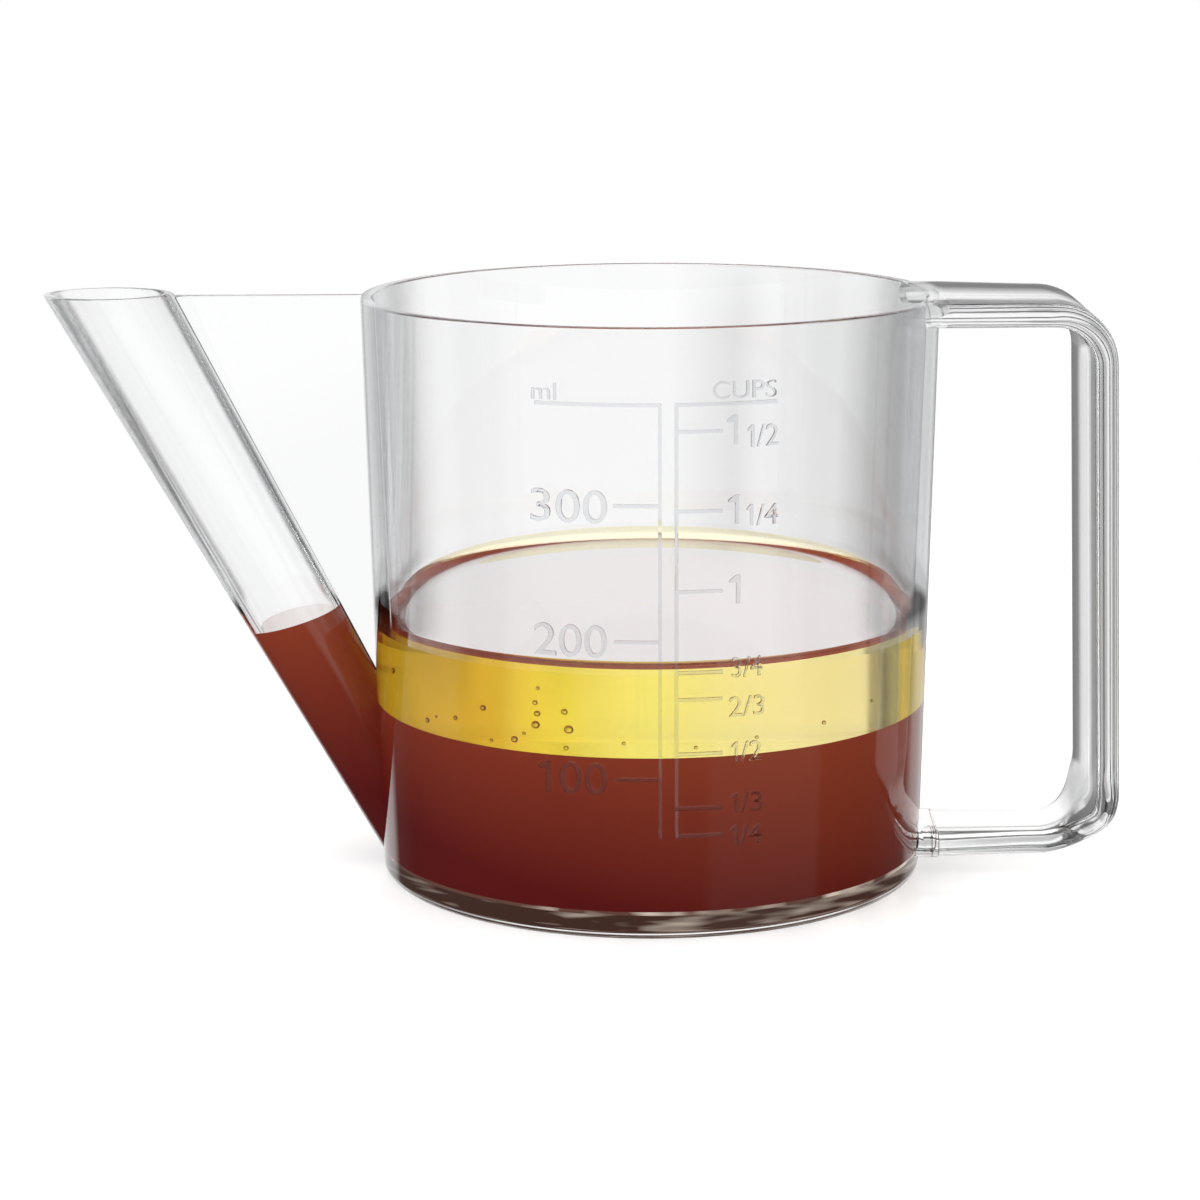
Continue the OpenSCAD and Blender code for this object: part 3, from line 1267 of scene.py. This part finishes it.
@dataclass(frozen=True)
class Scale:
    """One raised scale: rail, lines, numerals and unit mark.

    Attributes:
        unit: Which of the two scales it is.
        side: -1 for lines on the rail's left, 1 for its right.
        lines: Volumes of its lines, in millilitres.
        labels: Its numerals and unit mark.
        top_l: Length of its top line.
        centre_x: Middle of the gap between the two rails.
        gap: Gap between the two rails.
        bar: Thickness of a line.
        line_l: Length of a line.
        top_ml: Volume at the top line.
        low_ml: Volume at the rail's lower end.
        relief: Height over the wall.
        sunk: Depth of its back inside the wall.
        soft: Width of the bevel on its edges.
        draft_y: Place in front of the cup where flat shapes are drawn.
        pace: Longest step of a bar round the wall.
        skin_z: Heights of the lower and upper end of the skin that it is laid on.
    """

    unit: Unit
    side: int
    lines: tuple[float, ...]
    labels: tuple[Label, ...]
    top_l: float
    centre_x: float = 2.2
    gap: float = 1.8
    bar: float = 0.5
    line_l: float = 6.2
    top_ml: float = 375.0
    low_ml: float = 59.15
    relief: float = 0.32
    sunk: float = 0.05
    soft: float = 0.09
    draft_y: float = -60.0
    pace: float = 0.7
    skin_z: Point2 = (5.0, 86.0)

    def flat_bar(self, x1: float, x2: float, z1: float, z2: float) -> Piece:
        """Builds one flat bar in front of the cup, facing forwards.

        Args:
            x1: Its left end.
            x2: Its right end.
            z1: Its lower edge.
            z2: Its upper edge.

        Returns:
            The flat bar, in short steps along X.
        """
        bar = create(
            "scale_bar",
            bpy.ops.mesh.primitive_grid_add,
            x_subdivisions=max(1, math.ceil(abs(x2 - x1) / self.pace)),
            y_subdivisions=1,
            size=MM,
            location=((x1 + x2) / 2 * MM, self.draft_y * MM, (z1 + z2) / 2 * MM),
            rotation=FORWARDS,
        )
        with editing(bar, everything=True):
            bpy.ops.transform.resize(
                value=(abs(x2 - x1), 1, z2 - z1), center_override=tuple(bar.location)
            )
        settle(bar)
        return bar

    def flat_one(self, label: Label) -> Piece:
        """Builds one flat numeral 1 with a flag, in front of the cup, facing forwards.

        Args:
            label: Its place and size.

        Returns:
            The flat numeral.
        """
        stem = 0.13 * label.height
        left, right = label.x - label.width / 2, label.x + label.width / 2
        low, high = label.z - label.height / 2, label.z + label.height / 2
        flag = 0.26 * label.height
        outline = [
            (right, high),
            (right, low),
            (right - stem, low),
            (right - stem, high - flag),
            (left, high - flag),
            (left, high - flag + 0.6 * stem),
            (right - 0.9 * stem, high),
        ]
        piece = trace("scale_one", outline, self.draft_y)
        with editing(piece, everything=True):
            bpy.ops.mesh.edge_face_add()
        return piece

    @staticmethod
    def parted(label: Label) -> list[Label]:
        """Parts a leading 1 from the rest of a label, because it gets a flag.

        Args:
            label: The whole label.

        Returns:
            The label alone, or its 1 and its rest.
        """
        rest = label.text[1:]
        if label.text[0] != "1" or not rest:
            return [label]
        share = 0.2 if "/" in rest else 0.17
        gap = 0.1 if "/" in rest else 0.14
        left = label.x - label.width / 2
        one = label.width * share
        width = label.width * (1 - share - gap)
        return [
            Label("1", left + one / 2, label.z, one, label.height),
            Label(rest, left + label.width - width / 2, label.z, width, label.height),
        ]

    def flat_label(self, label: Label) -> Piece:
        """Builds one flat numeral or word in front of the cup, facing forwards.

        Args:
            label: What it says, its place and its size.

        Returns:
            The flat writing.
        """
        if label.text == "1":
            return self.flat_one(label)
        deselect()
        bpy.ops.object.text_add(location=(0, 0, 0), rotation=FORWARDS)
        writing = bpy.context.active_object
        writing.data.body = label.text
        writing.data.resolution_u = 6
        bpy.ops.object.convert(target="MESH")
        piece = rename(bpy.context.active_object, "scale_label")
        settle(piece)
        low, high = Vector(piece.bound_box[0]), Vector(piece.bound_box[6])
        size = high - low
        with editing(piece, everything=True):
            bpy.ops.mesh.remove_doubles(threshold=1e-4)
            middle = (low + high) / 2
            bpy.ops.transform.translate(value=tuple(-middle))
            bpy.ops.transform.resize(
                value=(label.width * MM / size.x, 1, label.height * MM / size.z),
                center_override=(0, 0, 0),
            )
            bpy.ops.transform.translate(value=(label.x * MM, self.draft_y * MM, label.z * MM))
        return piece

    def raise_up(self, flat: Piece, wall: Piece) -> None:
        """Lays a flat shape on the cup's wall and gives it its relief.

        Args:
            flat: The flat shape in front of the cup.
            wall: The skin that it is laid on, just inside the wall's outer face.
        """
        apply_modifier(
            flat,
            "SHRINKWRAP",
            target=wall,
            wrap_method="PROJECT",
            use_project_y=True,
            use_positive_direction=True,
        )
        apply_modifier(flat, "SOLIDIFY", thickness=(self.relief + self.sunk) * MM, offset=1.0)
        tidy_normals(flat)

    def build(self, cup: Cup) -> Piece:
        """Builds the whole scale.

        Args:
            cup: The cup that carries it.

        Returns:
            One piece with all raised marks.
        """
        foot, top = self.skin_z
        sides = [(cup.outer_r(z) - self.sunk, z) for z in self.skin_z]
        skin = revolve("scale_skin", [(0.0, foot), *sides, (0.0, top)])
        low = cup.fill_z(self.low_ml) - self.bar / 2
        high = cup.fill_z(self.top_ml) + self.bar / 2
        near = self.centre_x + self.side * self.gap / 2
        rail = near + self.side * self.bar
        spans = [(near, rail, low, high)]
        for volume in (*self.lines, self.top_ml):
            length = self.top_l if volume == self.top_ml else self.line_l
            z = cup.fill_z(volume)
            far = rail + self.side * length
            spans.append((near, far, z - self.bar / 2, z + self.bar / 2))
        piece = None
        for a, b, z1, z2 in spans:
            bar = self.flat_bar(min(a, b), max(a, b), z1, z2)
            self.raise_up(bar, skin)
            if piece is None:
                piece = bar
            else:
                combine(piece, bar, Solid.ADD)
        labels = [self.flat_label(part) for label in self.labels for part in self.parted(label)]
        for label in labels:
            self.raise_up(label, skin)
        bpy.data.objects.remove(skin, do_unlink=True)
        join([piece, *labels])
        apply_modifier(
            piece,
            "BEVEL",
            width=self.soft * MM,
            segments=2,
            limit_method="ANGLE",
            angle_limit=math.radians(50),
            use_clamp_overlap=True,
        )
        smooth(piece, degrees=40)
        return rename(piece, f"{self.unit.value}_marks")


@dataclass(frozen=True)
class Contents:
    """Gravy with fat on it, as deep as the photograph shows.

    Attributes:
        fat_z: Height of the fat's level surface.
        gravy_z: Height of the level between gravy and fat.
        spout_z: Height of the gravy in the middle of the spout.
        spout_tilt: Tilt of its surface there, higher towards the cup, in degrees.
        overlap: How far the liquids reach into the plastic, so that no air gap shows.
        climb: How high a surface climbs at the wall.
        climb_w: Width over which it climbs.
        decay: Distance over which the climb fades to a third.
        steps: Number of steps in the climb.
        crowd: Power that crowds these steps towards the wall.
        sink: How far the fat reaches into the gravy, and the floor's gravy under the spout's.
        bubble_gap: Distance between a bubble and the wall.
        bubble_flat: Height of a bubble against its width.
    """

    fat_z: float = 39.3
    gravy_z: float = 26.9
    spout_z: float = 38.9
    spout_tilt: float = 16.0
    overlap: float = 0.05
    climb: float = 1.75
    climb_w: float = 6.0
    decay: float = 1.5
    steps: int = 18
    crowd: float = 1.6
    sink: float = 0.02
    bubble_gap: float = 0.15
    bubble_flat: float = 0.88

    def meniscus(self, edge: float, level: float) -> list[Point2]:
        """Profile of a surface that climbs at its edge.

        Args:
            edge: Radius of the edge.
            level: Height of the level part.

        Returns:
            Points from the edge inwards, the axis included.
        """
        points = []
        for i in range(self.steps + 1):
            inward = self.climb_w * (i / self.steps) ** self.crowd
            rise = self.climb * math.exp(-inward / self.decay) * (1 - i / self.steps)
            points.append((edge - inward, level + rise))
        points.append((0.0, level))
        return points

    def fat(self, cup: Cup) -> Piece:
        """Builds the layer of fat as a closed solid.

        Args:
            cup: The cup that holds it.

        Returns:
            The closed layer.
        """
        low = self.gravy_z - self.sink
        edge = cup.inner_r(self.fat_z) + self.overlap
        profile = [(0.0, low), (cup.inner_r(low) + self.overlap, low)]
        profile += self.meniscus(edge, self.fat_z)
        piece = revolve("fat_layer", profile)
        smooth(piece, degrees=50)
        return piece

    def gravy(self, cup: Cup, spout: Spout) -> Piece:
        """Builds the gravy in cup and spout as one closed solid.

        Args:
            cup: The cup that holds it.
            spout: The spout that it rises in.

        Returns:
            The closed solid.
        """
        floor = cup.floor_top - self.overlap
        corner = cup.floor_fillet
        wall_x = cup.inner_r(floor + corner) + self.overlap
        profile = [(0.0, floor)]
        profile += arc((wall_x - corner, floor + corner), corner, 270, 360)
        profile += [(cup.inner_r(self.gravy_z) + self.overlap, self.gravy_z), (0.0, self.gravy_z)]
        piece = revolve("gravy", profile)
        column = spout.cone(
            "gravy_in_spout",
            spout.wall - self.overlap,
            floor + self.sink / 2,
            self.spout_z + 3 * SPARE,
        )
        tilt = math.radians(self.spout_tilt)
        with editing(column, everything=True):
            bpy.ops.mesh.bisect(
                plane_co=(spout.axis_x(self.spout_z) * MM, 0, self.spout_z * MM),
                plane_no=(-math.sin(tilt), 0, math.cos(tilt)),
                use_fill=True,
                clear_outer=True,
            )
        combine(piece, column, Solid.ADD)
        smooth(piece, degrees=40)
        return piece

    def bubbles(self, cup: Cup) -> Piece:
        """Builds small bubbles in the fat, one mesh for all.

        Args:
            cup: The cup, whose wall they lie behind.

        Returns:
            The bubbles.
        """
        spots = [
            (-31.6, 28.6, 0.45),
            (-30.4, 29.6, 0.25),
            (-19.2, 28.4, 0.55),
            (-17.9, 29.5, 0.3),
            (-12.0, 27.9, 0.4),
            (-11.6, 30.6, 0.7),
            (-12.2, 33.2, 0.5),
            (-22.5, 27.8, 0.3),
            (6.0, 28.3, 0.3),
            (24.0, 30.0, 0.35),
            (-15.9, 36.4, 0.3),
            (-16.3, 34.2, 0.42),
            (-16.0, 32.6, 0.5),
            (-16.2, 30.9, 0.65),
            (-23.6, 32.4, 0.5),
            (-36.5, 34.0, 0.5),
            (-27.6, 30.1, 0.4),
            (-4.0, 29.0, 0.3),
            (14.5, 29.2, 0.3),
            (31.0, 31.6, 0.3),
        ]
        made = []
        for x, z, radius in spots:
            reach = cup.inner_r(z) - radius - self.bubble_gap
            y = -math.sqrt(reach * reach - x * x)
            bead = create(
                "fat_bubble",
                bpy.ops.mesh.primitive_uv_sphere_add,
                segments=24,
                ring_count=14,
                radius=radius * MM,
                location=(x * MM, y * MM, z * MM),
            )
            with editing(bead, everything=True):
                bpy.ops.transform.resize(value=(1, 1, self.bubble_flat))
            made.append(bead)
        piece = rename(join(made), "fat_bubbles")
        settle(piece)
        smooth(piece, degrees=60)
        return piece


@dataclass(frozen=True)
class Separator:
    """The whole vessel with its contents.

    Attributes:
        cup: The cup.
        spout: The spout with its web.
        handle: The handle with its pads.
        contents: The gravy and the fat.
    """

    cup: Cup = Cup()
    spout: Spout = Spout()
    handle: Handle = Handle()
    contents: Contents = Contents()

    def vessel(self) -> Piece:
        """Builds all clear plastic as one solid, so that light passes between its parts.

        Returns:
            The closed vessel.
        """
        body = self.cup.outside()
        mouth, foot = self.spout.mouth_z, self.cup.foot_round
        combine(body, self.spout.cone("spout_outside", 0.0, foot, mouth), Solid.ADD)
        combine(body, self.spout.web(self.cup), Solid.ADD)
        combine(body, self.handle.strap(), Solid.ADD)
        for pad in self.handle.pads(self.cup.height):
            combine(body, pad, Solid.ADD)
        combine(body, self.cup.inside(), Solid.CUT)
        bore = self.spout.cone(
            "spout_bore", self.spout.wall, self.cup.floor_top, mouth + 2 * SPARE
        )
        combine(body, bore, Solid.CUT)
        self.spout.round_mouth(body)
        smooth(body, degrees=30)
        return body

    def scales(self) -> list[Scale]:
        """Lists the two scales on the cup's front.

        Returns:
            The scales with their lines and labels.
        """
        measure = 236.6
        shares = (1 / 4, 1 / 3, 1 / 2, 2 / 3, 3 / 4, 1.0, 5 / 4, 3 / 2)
        full = Scale.top_ml
        return [
            Scale(
                Unit.MILLILITRES,
                side=-1,
                lines=(100.0, 200.0, 300.0),
                labels=self.labels(
                    1.0,
                    ("100", 100.0, -11.3, 0.0, 9.7, 4.7),
                    ("200", 200.0, -11.5, 0.0, 10.2, 4.7),
                    ("300", 300.0, -11.6, -0.2, 10.6, 4.7),
                    ("ml", full, -14.95, 1.7, 3.4, 2.4),
                ),
                top_l=17.0,
            ),
            Scale(
                Unit.MEASURES,
                side=1,
                lines=tuple(share * measure for share in shares),
                labels=self.labels(
                    measure,
                    ("1/4", 1 / 4, 13.3, -0.2, 4.3, 2.9),
                    ("1/3", 1 / 3, 13.3, 0.5, 4.3, 2.9),
                    ("1/2", 1 / 2, 13.3, 0.0, 4.3, 2.9),
                    ("2/3", 2 / 3, 13.3, -1.3, 5.0, 2.9),
                    ("3/4", 3 / 4, 13.3, 0.5, 4.3, 2.9),
                    ("1", 1.0, 11.5, 0.1, 1.5, 4.2),
                    ("1", 5 / 4, 11.3, 0.1, 1.5, 4.2),
                    ("1", 3 / 2, 11.2, 0.1, 1.5, 4.2),
                    ("1/4", 5 / 4, 15.4, -0.9, 4.3, 3.0),
                    ("1/2", 3 / 2, 15.4, -0.9, 4.3, 3.1),
                    ("CUPS", full / measure, 12.8, 1.9, 8.8, 2.5),
                ),
                top_l=13.7,
            ),
        ]

    def labels(self, unit: float, *rows: tuple) -> tuple[Label, ...]:
        """Places a scale's labels beside its lines.

        Args:
            unit: Millilitres in one unit of the scale.
            rows: For each label its text, its line's volume in that unit, its place along X, its
                height over the line, its width and its height.

        Returns:
            The labels.
        """
        return tuple(
            Label(text, x, self.cup.fill_z(volume * unit) + rise, width, height)
            for text, volume, x, rise, width, height in rows
        )


# ---------------------------------------------------------------- studio


@dataclass(frozen=True)
class Studio:
    """Camera, table, light and surroundings.

    Attributes:
        distance: Camera's distance from its target, in millimetres.
        target: What the camera looks at.
        elevation: Camera's height angle, in degrees.
        azimuth: Camera's turn from straight ahead, in degrees.
        roll: Camera's roll, in degrees.
        focal_px: Focal length in pixels of the picture.
        picture: Side of the picture, in pixels.
        shift_px: Shift of the picture's middle, in pixels.
        table_tone: Brightness of the table's own colour, and how much its grain adds.
        table_glow: Light that the table adds for the camera, and for what passes plastic.
        table_edge: Distances, in metres, over which the table fades for light seen in plastic.
        table_far: Distances over which the table fades into the white backdrop.
        backdrop: Brightness of the room behind plastic, by degrees from straight behind the cup.
        backdrop_top: Upward shares of a direction over which it gives way to the ceiling.
        mirrored: Brightness of the room in reflections, by the same degrees.
        mirrored_top: The same as backdrop_top, for reflections.
        upper_wall: Brightness of the walls in reflections that look upwards.
        upper_wall_at: Upward shares of a direction over which that brightness takes over.
        ceiling: Brightness of the ceiling, by the upward share of a direction.
        fill: Brightness of the room for diffuse light.
        flag_y: Distance of the grey flag behind the cup, in metres.
        flag_low: Height of the flag's lower edge.
        flag_height: Heights, in metres, over which the flag fades out upwards.
        flag: Brightness of the grey flag, by millimetres along X.
    """

    distance: float = 512.25
    target: tuple[float, float, float] = (-5.316, 0.0, 41.08)
    elevation: float = 11.72
    azimuth: float = 0.2
    roll: float = -0.24
    focal_px: float = 3354.0
    picture: float = 1200.0
    shift_px: Point2 = (-15.5, 2.7)
    table_tone: Point2 = (0.84, 0.02)
    table_glow: Point2 = (0.27, 0.6)
    table_edge: Point2 = (0.055, 0.1)
    table_far: Point2 = (0.16, 0.42)
    backdrop: tuple[Point2, ...] = (
        (-180, 0.9),
        (-118, 0.95),
        (-112, 0.5),
        (-92, 0.5),
        (-86, 0.97),
        (-66, 0.97),
        (-60, 0.6),
        (-47, 1.0),
        (-42, 0.4),
        (-37, 0.4),
        (-35, 1.0),
        (14, 1.0),
        (24, 0.8),
        (50, 0.6),
        (80, 0.6),
        (86, 0.35),
        (108, 0.35),
        (114, 0.9),
        (180, 0.9),
    )
    backdrop_top: Point2 = (0.46, 0.6)
    mirrored: tuple[Point2, ...] = (
        (-180, 0.1),
        (-90, 0.1),
        (-60, 0.06),
        (-42, 0.1),
        (-36, 0.95),
        (-6, 0.95),
        (-3, 0.12),
        (8, 0.12),
        (14, 0.75),
        (36, 0.7),
        (44, 0.12),
        (65, 0.08),
        (80, 0.05),
        (104, 0.05),
        (107, 0.24),
        (154, 0.24),
        (158, 0.1),
        (180, 0.1),
    )
    mirrored_top: Point2 = (0.32, 0.42)
    upper_wall: float = 0.9
    upper_wall_at: Point2 = (0.02, 0.12)
    ceiling: tuple[Point2, ...] = ((0.6, 0.12), (0.84, 0.12), (0.9, 0.9))
    fill: float = 0.72
    flag_y: float = 0.164
    flag_low: float = -0.12
    flag_height: Point2 = (0.055, 0.075)
    flag: tuple[Point2, ...] = (
        (6, 1.0),
        (20, 0.8),
        (26, 0.92),
        (46, 0.84),
        (56, 0.56),
        (90, 0.45),
        (300, 0.35),
    )

    def camera(self) -> None:
        """Sets the camera at the photograph's viewpoint."""
        lift, turn = math.radians(self.elevation), math.radians(self.azimuth)
        flat = math.cos(lift)
        back = Vector((math.sin(turn) * flat, -math.cos(turn) * flat, math.sin(lift)))
        camera = create("photo_camera", bpy.ops.object.camera_add)
        camera.location = (Vector(self.target) + back * self.distance) * MM
        look = back.to_track_quat("Z", "Y")
        roll = Matrix.Rotation(math.radians(self.roll), 4, "Z").to_quaternion()
        camera.rotation_euler = (look @ roll).to_euler()
        lens = camera.data
        lens.sensor_width = 36.0
        lens.lens = self.focal_px * lens.sensor_width / self.picture
        lens.shift_x = self.shift_px[0] / self.picture
        lens.shift_y = self.shift_px[1] / self.picture
        lens.clip_start = 0.01
        bpy.context.scene.camera = camera

    def table(self) -> Piece:
        """Builds the pale table, which keeps the object's shadow.

        Returns:
            The table with its finish.
        """
        table = create("pale_table", bpy.ops.mesh.primitive_plane_add, size=8.0)
        material = bpy.data.materials.new("pale_table_top")
        book = NodeBook(material)
        grain = add_waviness(book, 9.0, (1.0, 1.0, 1.0))
        plain, grainy = self.table_tone
        tone = book.maths("MULTIPLY_ADD", grain.outputs["Fine"], grainy, plain)
        white = book.add("ShaderNodeCombineColor", Red=tone, Green=tone, Blue=tone)
        top = book.add(
            "ShaderNodeBsdfPrincipled",
            Base_Color=white.outputs[0],
            Roughness=0.25,
            Specular_IOR_Level=0.35,
        )
        path = book.add("ShaderNodeLightPath").outputs
        seen, passed = path["Is Camera Ray"], path["Is Transmission Ray"]
        glow_seen, glow_passed = self.table_glow
        strength = book.maths("MULTIPLY", passed, glow_passed)
        strength = book.maths("MULTIPLY_ADD", seen, glow_seen, strength)
        glow = book.add("ShaderNodeEmission", Color=WHITE, Strength=strength)
        total = book.add("ShaderNodeAddShader")
        for socket, part in zip(total.inputs, (top, glow)):
            book.feed(socket, part.outputs[0])
        place = book.add("ShaderNodeTexCoord").outputs["Object"]
        distance = book.add("ShaderNodeVectorMath", operation="LENGTH", Vector=place)
        faded = [
            book.maths("MULTIPLY", book.step(distance.outputs["Value"], edges, 1.0), ray)
            for edges, ray in ((self.table_far, seen), (self.table_edge, passed))
        ]
        beyond = book.maths("MAXIMUM", *faded)
        through = book.maths("MAXIMUM", beyond, path["Is Reflection Ray"])
        direct = book.maths("SUBTRACT", 1.0, path["Is Diffuse Ray"])
        through = book.maths("MULTIPLY", through, direct)
        gone = book.add("ShaderNodeBsdfTransparent")
        book.end(book.mix_shaders(through, total.outputs[0], gone.outputs[0]))
        table.data.materials.append(material)
        return table

    def surroundings(self) -> None:
        """Sets the white backdrop, and the lighter and darker sides that plastic shows."""
        world = bpy.data.worlds.new("studio_room")
        bpy.context.scene.world = world
        book = NodeBook(world)
        axes = book.axes("Generated")
        around = book.maths("ARCTAN2", axes["X"], axes["Y"])
        turn = book.maths("MULTIPLY_ADD", around, 1 / TURN, 0.5)
        passed, mirrored = (
            book.tones(turn, [(angle / 360 + 0.5, tone) for angle, tone in stops])
            for stops in (self.backdrop, self.mirrored)
        )
        upper = (self.upper_wall, self.upper_wall, self.upper_wall, 1.0)
        mirrored = book.blend(self.over(book, axes["Z"], self.upper_wall_at), mirrored, upper)
        rooms = []
        for walls, edges in ((passed, self.backdrop_top), (mirrored, self.mirrored_top)):
            ceiling = book.tones(axes["Z"], self.ceiling)
            colour = book.blend(self.over(book, axes["Z"], edges), walls, ceiling)
            rooms.append(book.add("ShaderNodeBackground", Color=colour, Strength=1.0))
        fill = book.add("ShaderNodeBackground", Color=WHITE, Strength=self.fill)
        white = book.add("ShaderNodeBackground", Color=WHITE, Strength=1.0)
        path = book.add("ShaderNodeLightPath").outputs
        seen = book.mix_shaders(
            path["Is Transmission Ray"], rooms[1].outputs[0], rooms[0].outputs[0]
        )
        seen = book.mix_shaders(path["Is Diffuse Ray"], seen, fill.outputs[0])
        book.end(book.mix_shaders(path["Is Camera Ray"], seen, white.outputs[0]))

    @staticmethod
    def over(book: NodeBook, value: Socket, edges: Point2) -> Socket:
        """Adds a straight step from black to white between two edges."""
        return book.tones(value, [(edges[0], 0.0), (edges[1], 1.0)])

    def grey_flag(self) -> Piece:
        """Builds the grey flag behind the cup, which shows only through plastic and liquid.

        Returns:
            The flag with its finish.
        """
        low, high = self.flag[0][0] * MM, self.flag[-1][0] * MM
        foot, top = self.flag_low, self.flag_height[1]
        flag = create(
            "grey_flag",
            bpy.ops.mesh.primitive_plane_add,
            size=1.0,
            location=((low + high) / 2, self.flag_y, (foot + top) / 2),
            rotation=FORWARDS,
        )
        with editing(flag, everything=True):
            bpy.ops.transform.resize(
                value=(high - low, 1, top - foot), center_override=tuple(flag.location)
            )
        settle(flag)
        for kind in ("camera", "diffuse", "glossy", "shadow", "volume_scatter"):
            setattr(flag, f"visible_{kind}", False)
        material = bpy.data.materials.new("grey_flag_cloth")
        book = NodeBook(material)
        axes = book.axes()
        along = book.add("ShaderNodeMapRange", Value=axes["X"], From_Min=low, From_Max=high)
        start, end = self.flag[0][0], self.flag[-1][0]
        stops = [((x - start) / (end - start), tone) for x, tone in self.flag]
        tone = book.tones(along.outputs["Result"], stops)
        lit = book.add("ShaderNodeEmission", Color=tone, Strength=1.0)
        gone = book.add("ShaderNodeBsdfTransparent")
        upward = book.step(axes["Z"], self.flag_height, 1.0)
        book.end(book.mix_shaders(upward, lit.outputs[0], gone.outputs[0]))
        flag.data.materials.append(material)
        return flag

    def lamps(self) -> None:
        """Hangs one broad soft lamp overhead and one at the front left."""
        for name, place, aim, size, watts in (
            ("overhead_softbox", (-0.15, -0.25, 0.9), (0, 0, 0), 0.7, 5.0),
            ("left_softbox", (-0.8, -0.7, 0.5), (0, 0, 0.03), 0.6, 2.5),
        ):
            lamp = create(name, bpy.ops.object.light_add, type="AREA", location=place)
            lamp.data.shape = "SQUARE"
            lamp.data.size = size
            lamp.data.energy = watts
            direction = Vector(place) - Vector(aim)
            lamp.rotation_euler = direction.to_track_quat("Z", "Y").to_euler()
            lamp.visible_glossy = False
            lamp.visible_transmission = False

    def build(self) -> None:
        """Sets up camera, table, room and lamps."""
        self.camera()
        self.table()
        self.grey_flag()
        self.surroundings()
        self.lamps()
        bpy.context.scene.view_settings.view_transform = "Standard"


def dress(piece: Piece, *materials: Material) -> None:
    """Gives a piece its materials in place of any that it has.

    Args:
        piece: The piece to dress.
        materials: Its materials, in the order of their places.
    """
    piece.data.materials.clear()
    for material in materials:
        piece.data.materials.append(material)


def give_surface(piece: Piece, index: int, wanted: Callable[[Vector, Vector], bool]) -> None:
    """Gives the faces that a rule picks another of the piece's materials.

    Args:
        piece: The piece whose faces are looked at.
        index: The material's place on the piece.
        wanted: Says from a face's middle and normal whether it takes the material.
    """
    for face in piece.data.polygons:
        if wanted(face.center, face.normal):
            face.material_index = index


def main() -> None:
    """Builds the studio, the vessel, its scales and its contents, and reports each piece."""
    logging.basicConfig(level=logging.INFO, format="%(name)s: %(message)s")
    Studio().build()
    separator = Separator()
    plastic = ClearPlastic().make()
    vessel = separator.vessel()
    dress(vessel, plastic)
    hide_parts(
        "cup_wall",
        "cup_floor",
        "spout_tube",
        "spout_web",
        "handle_strap",
        "upper_handle_pad",
        "lower_handle_pad",
    )
    made = [vessel]
    contents = separator.contents
    # Painted shade: the marks are the cup's clear plastic, painted grey, and a darker red-brown
    # below the gravy's level for the gravy's shade behind them.
    marks_painted_grey = ClearPlastic("raised_marks_painted_grey", tint_and_painted_shade=(0.84, 0.85, 0.87), ior=1.42).make()
    marks_painted_gravy_shade = ClearPlastic("raised_marks_painted_shade_over_gravy", tint_and_painted_shade=(0.62, 0.5, 0.47), ior=1.16).make()
    gravy_top = contents.gravy_z * MM
    for scale in separator.scales():
        marks = scale.build(separator.cup)
        dress(marks, marks_painted_grey, marks_painted_gravy_shade)
        # Faces below the gravy's level take the red-brown painted shade.
        give_surface(marks, 1, lambda middle, normal: middle.z < gravy_top)
        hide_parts(f"{scale.unit.value}_scale")
        made.append(marks)
    gravy = contents.gravy(separator.cup, separator.spout)
    # Painted light: where the gravy lies on the floor it glows pale warm brown, darker towards the
    # spout, lighter towards the handle, with fine painted glints.
    floor_gravy_painted_glow = Gravy(
        "gravy_on_floor_painted_glow",
        painted_shade=(0.1, 0.045, 0.032),
        painted_light=(0.9, 0.78, 0.66),
        glow=0.45,
        clouds_and_glints=2.4,
        clouds_and_glints_scale=170.0,
    )
    under = Gravy("gravy_under_fat", gloss=True, mirror_at=(0.5, 0.62), mirror=1.0)
    open_top = Gravy("gravy_surface", gloss=True)
    dress(gravy, Gravy().make(), open_top.make(), floor_gravy_painted_glow.make(), under.make())
    upward, downward = 0.9, -0.35
    open_z = (contents.gravy_z + 3) * MM
    give_surface(gravy, 1, lambda middle, normal: middle.z > open_z and normal.z > upward)
    give_surface(gravy, 3, lambda middle, normal: middle.z <= open_z and normal.z > upward)
    floor_z = (separator.cup.floor_top + separator.cup.floor_fillet) * MM
    # The faces against the floor take the painted glow.
    give_surface(gravy, 2, lambda middle, normal: middle.z < floor_z and normal.z < downward)
    fat = contents.fat(separator.cup)
    dress(fat, Fat().make())
    bubbles = contents.bubbles(separator.cup)
    bead = ClearPlastic("fat_bubble", tint_and_painted_shade=(0.95, 0.85, 0.35), ior=1.9, wave=0.0)
    dress(bubbles, bead.make())
    made += [gravy, fat, bubbles]
    for piece in made:
        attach(piece, ROOT)
        LOG.info("%s: %d faces", piece.name, len(piece.data.polygons))


if __name__ == "__main__":
    main()
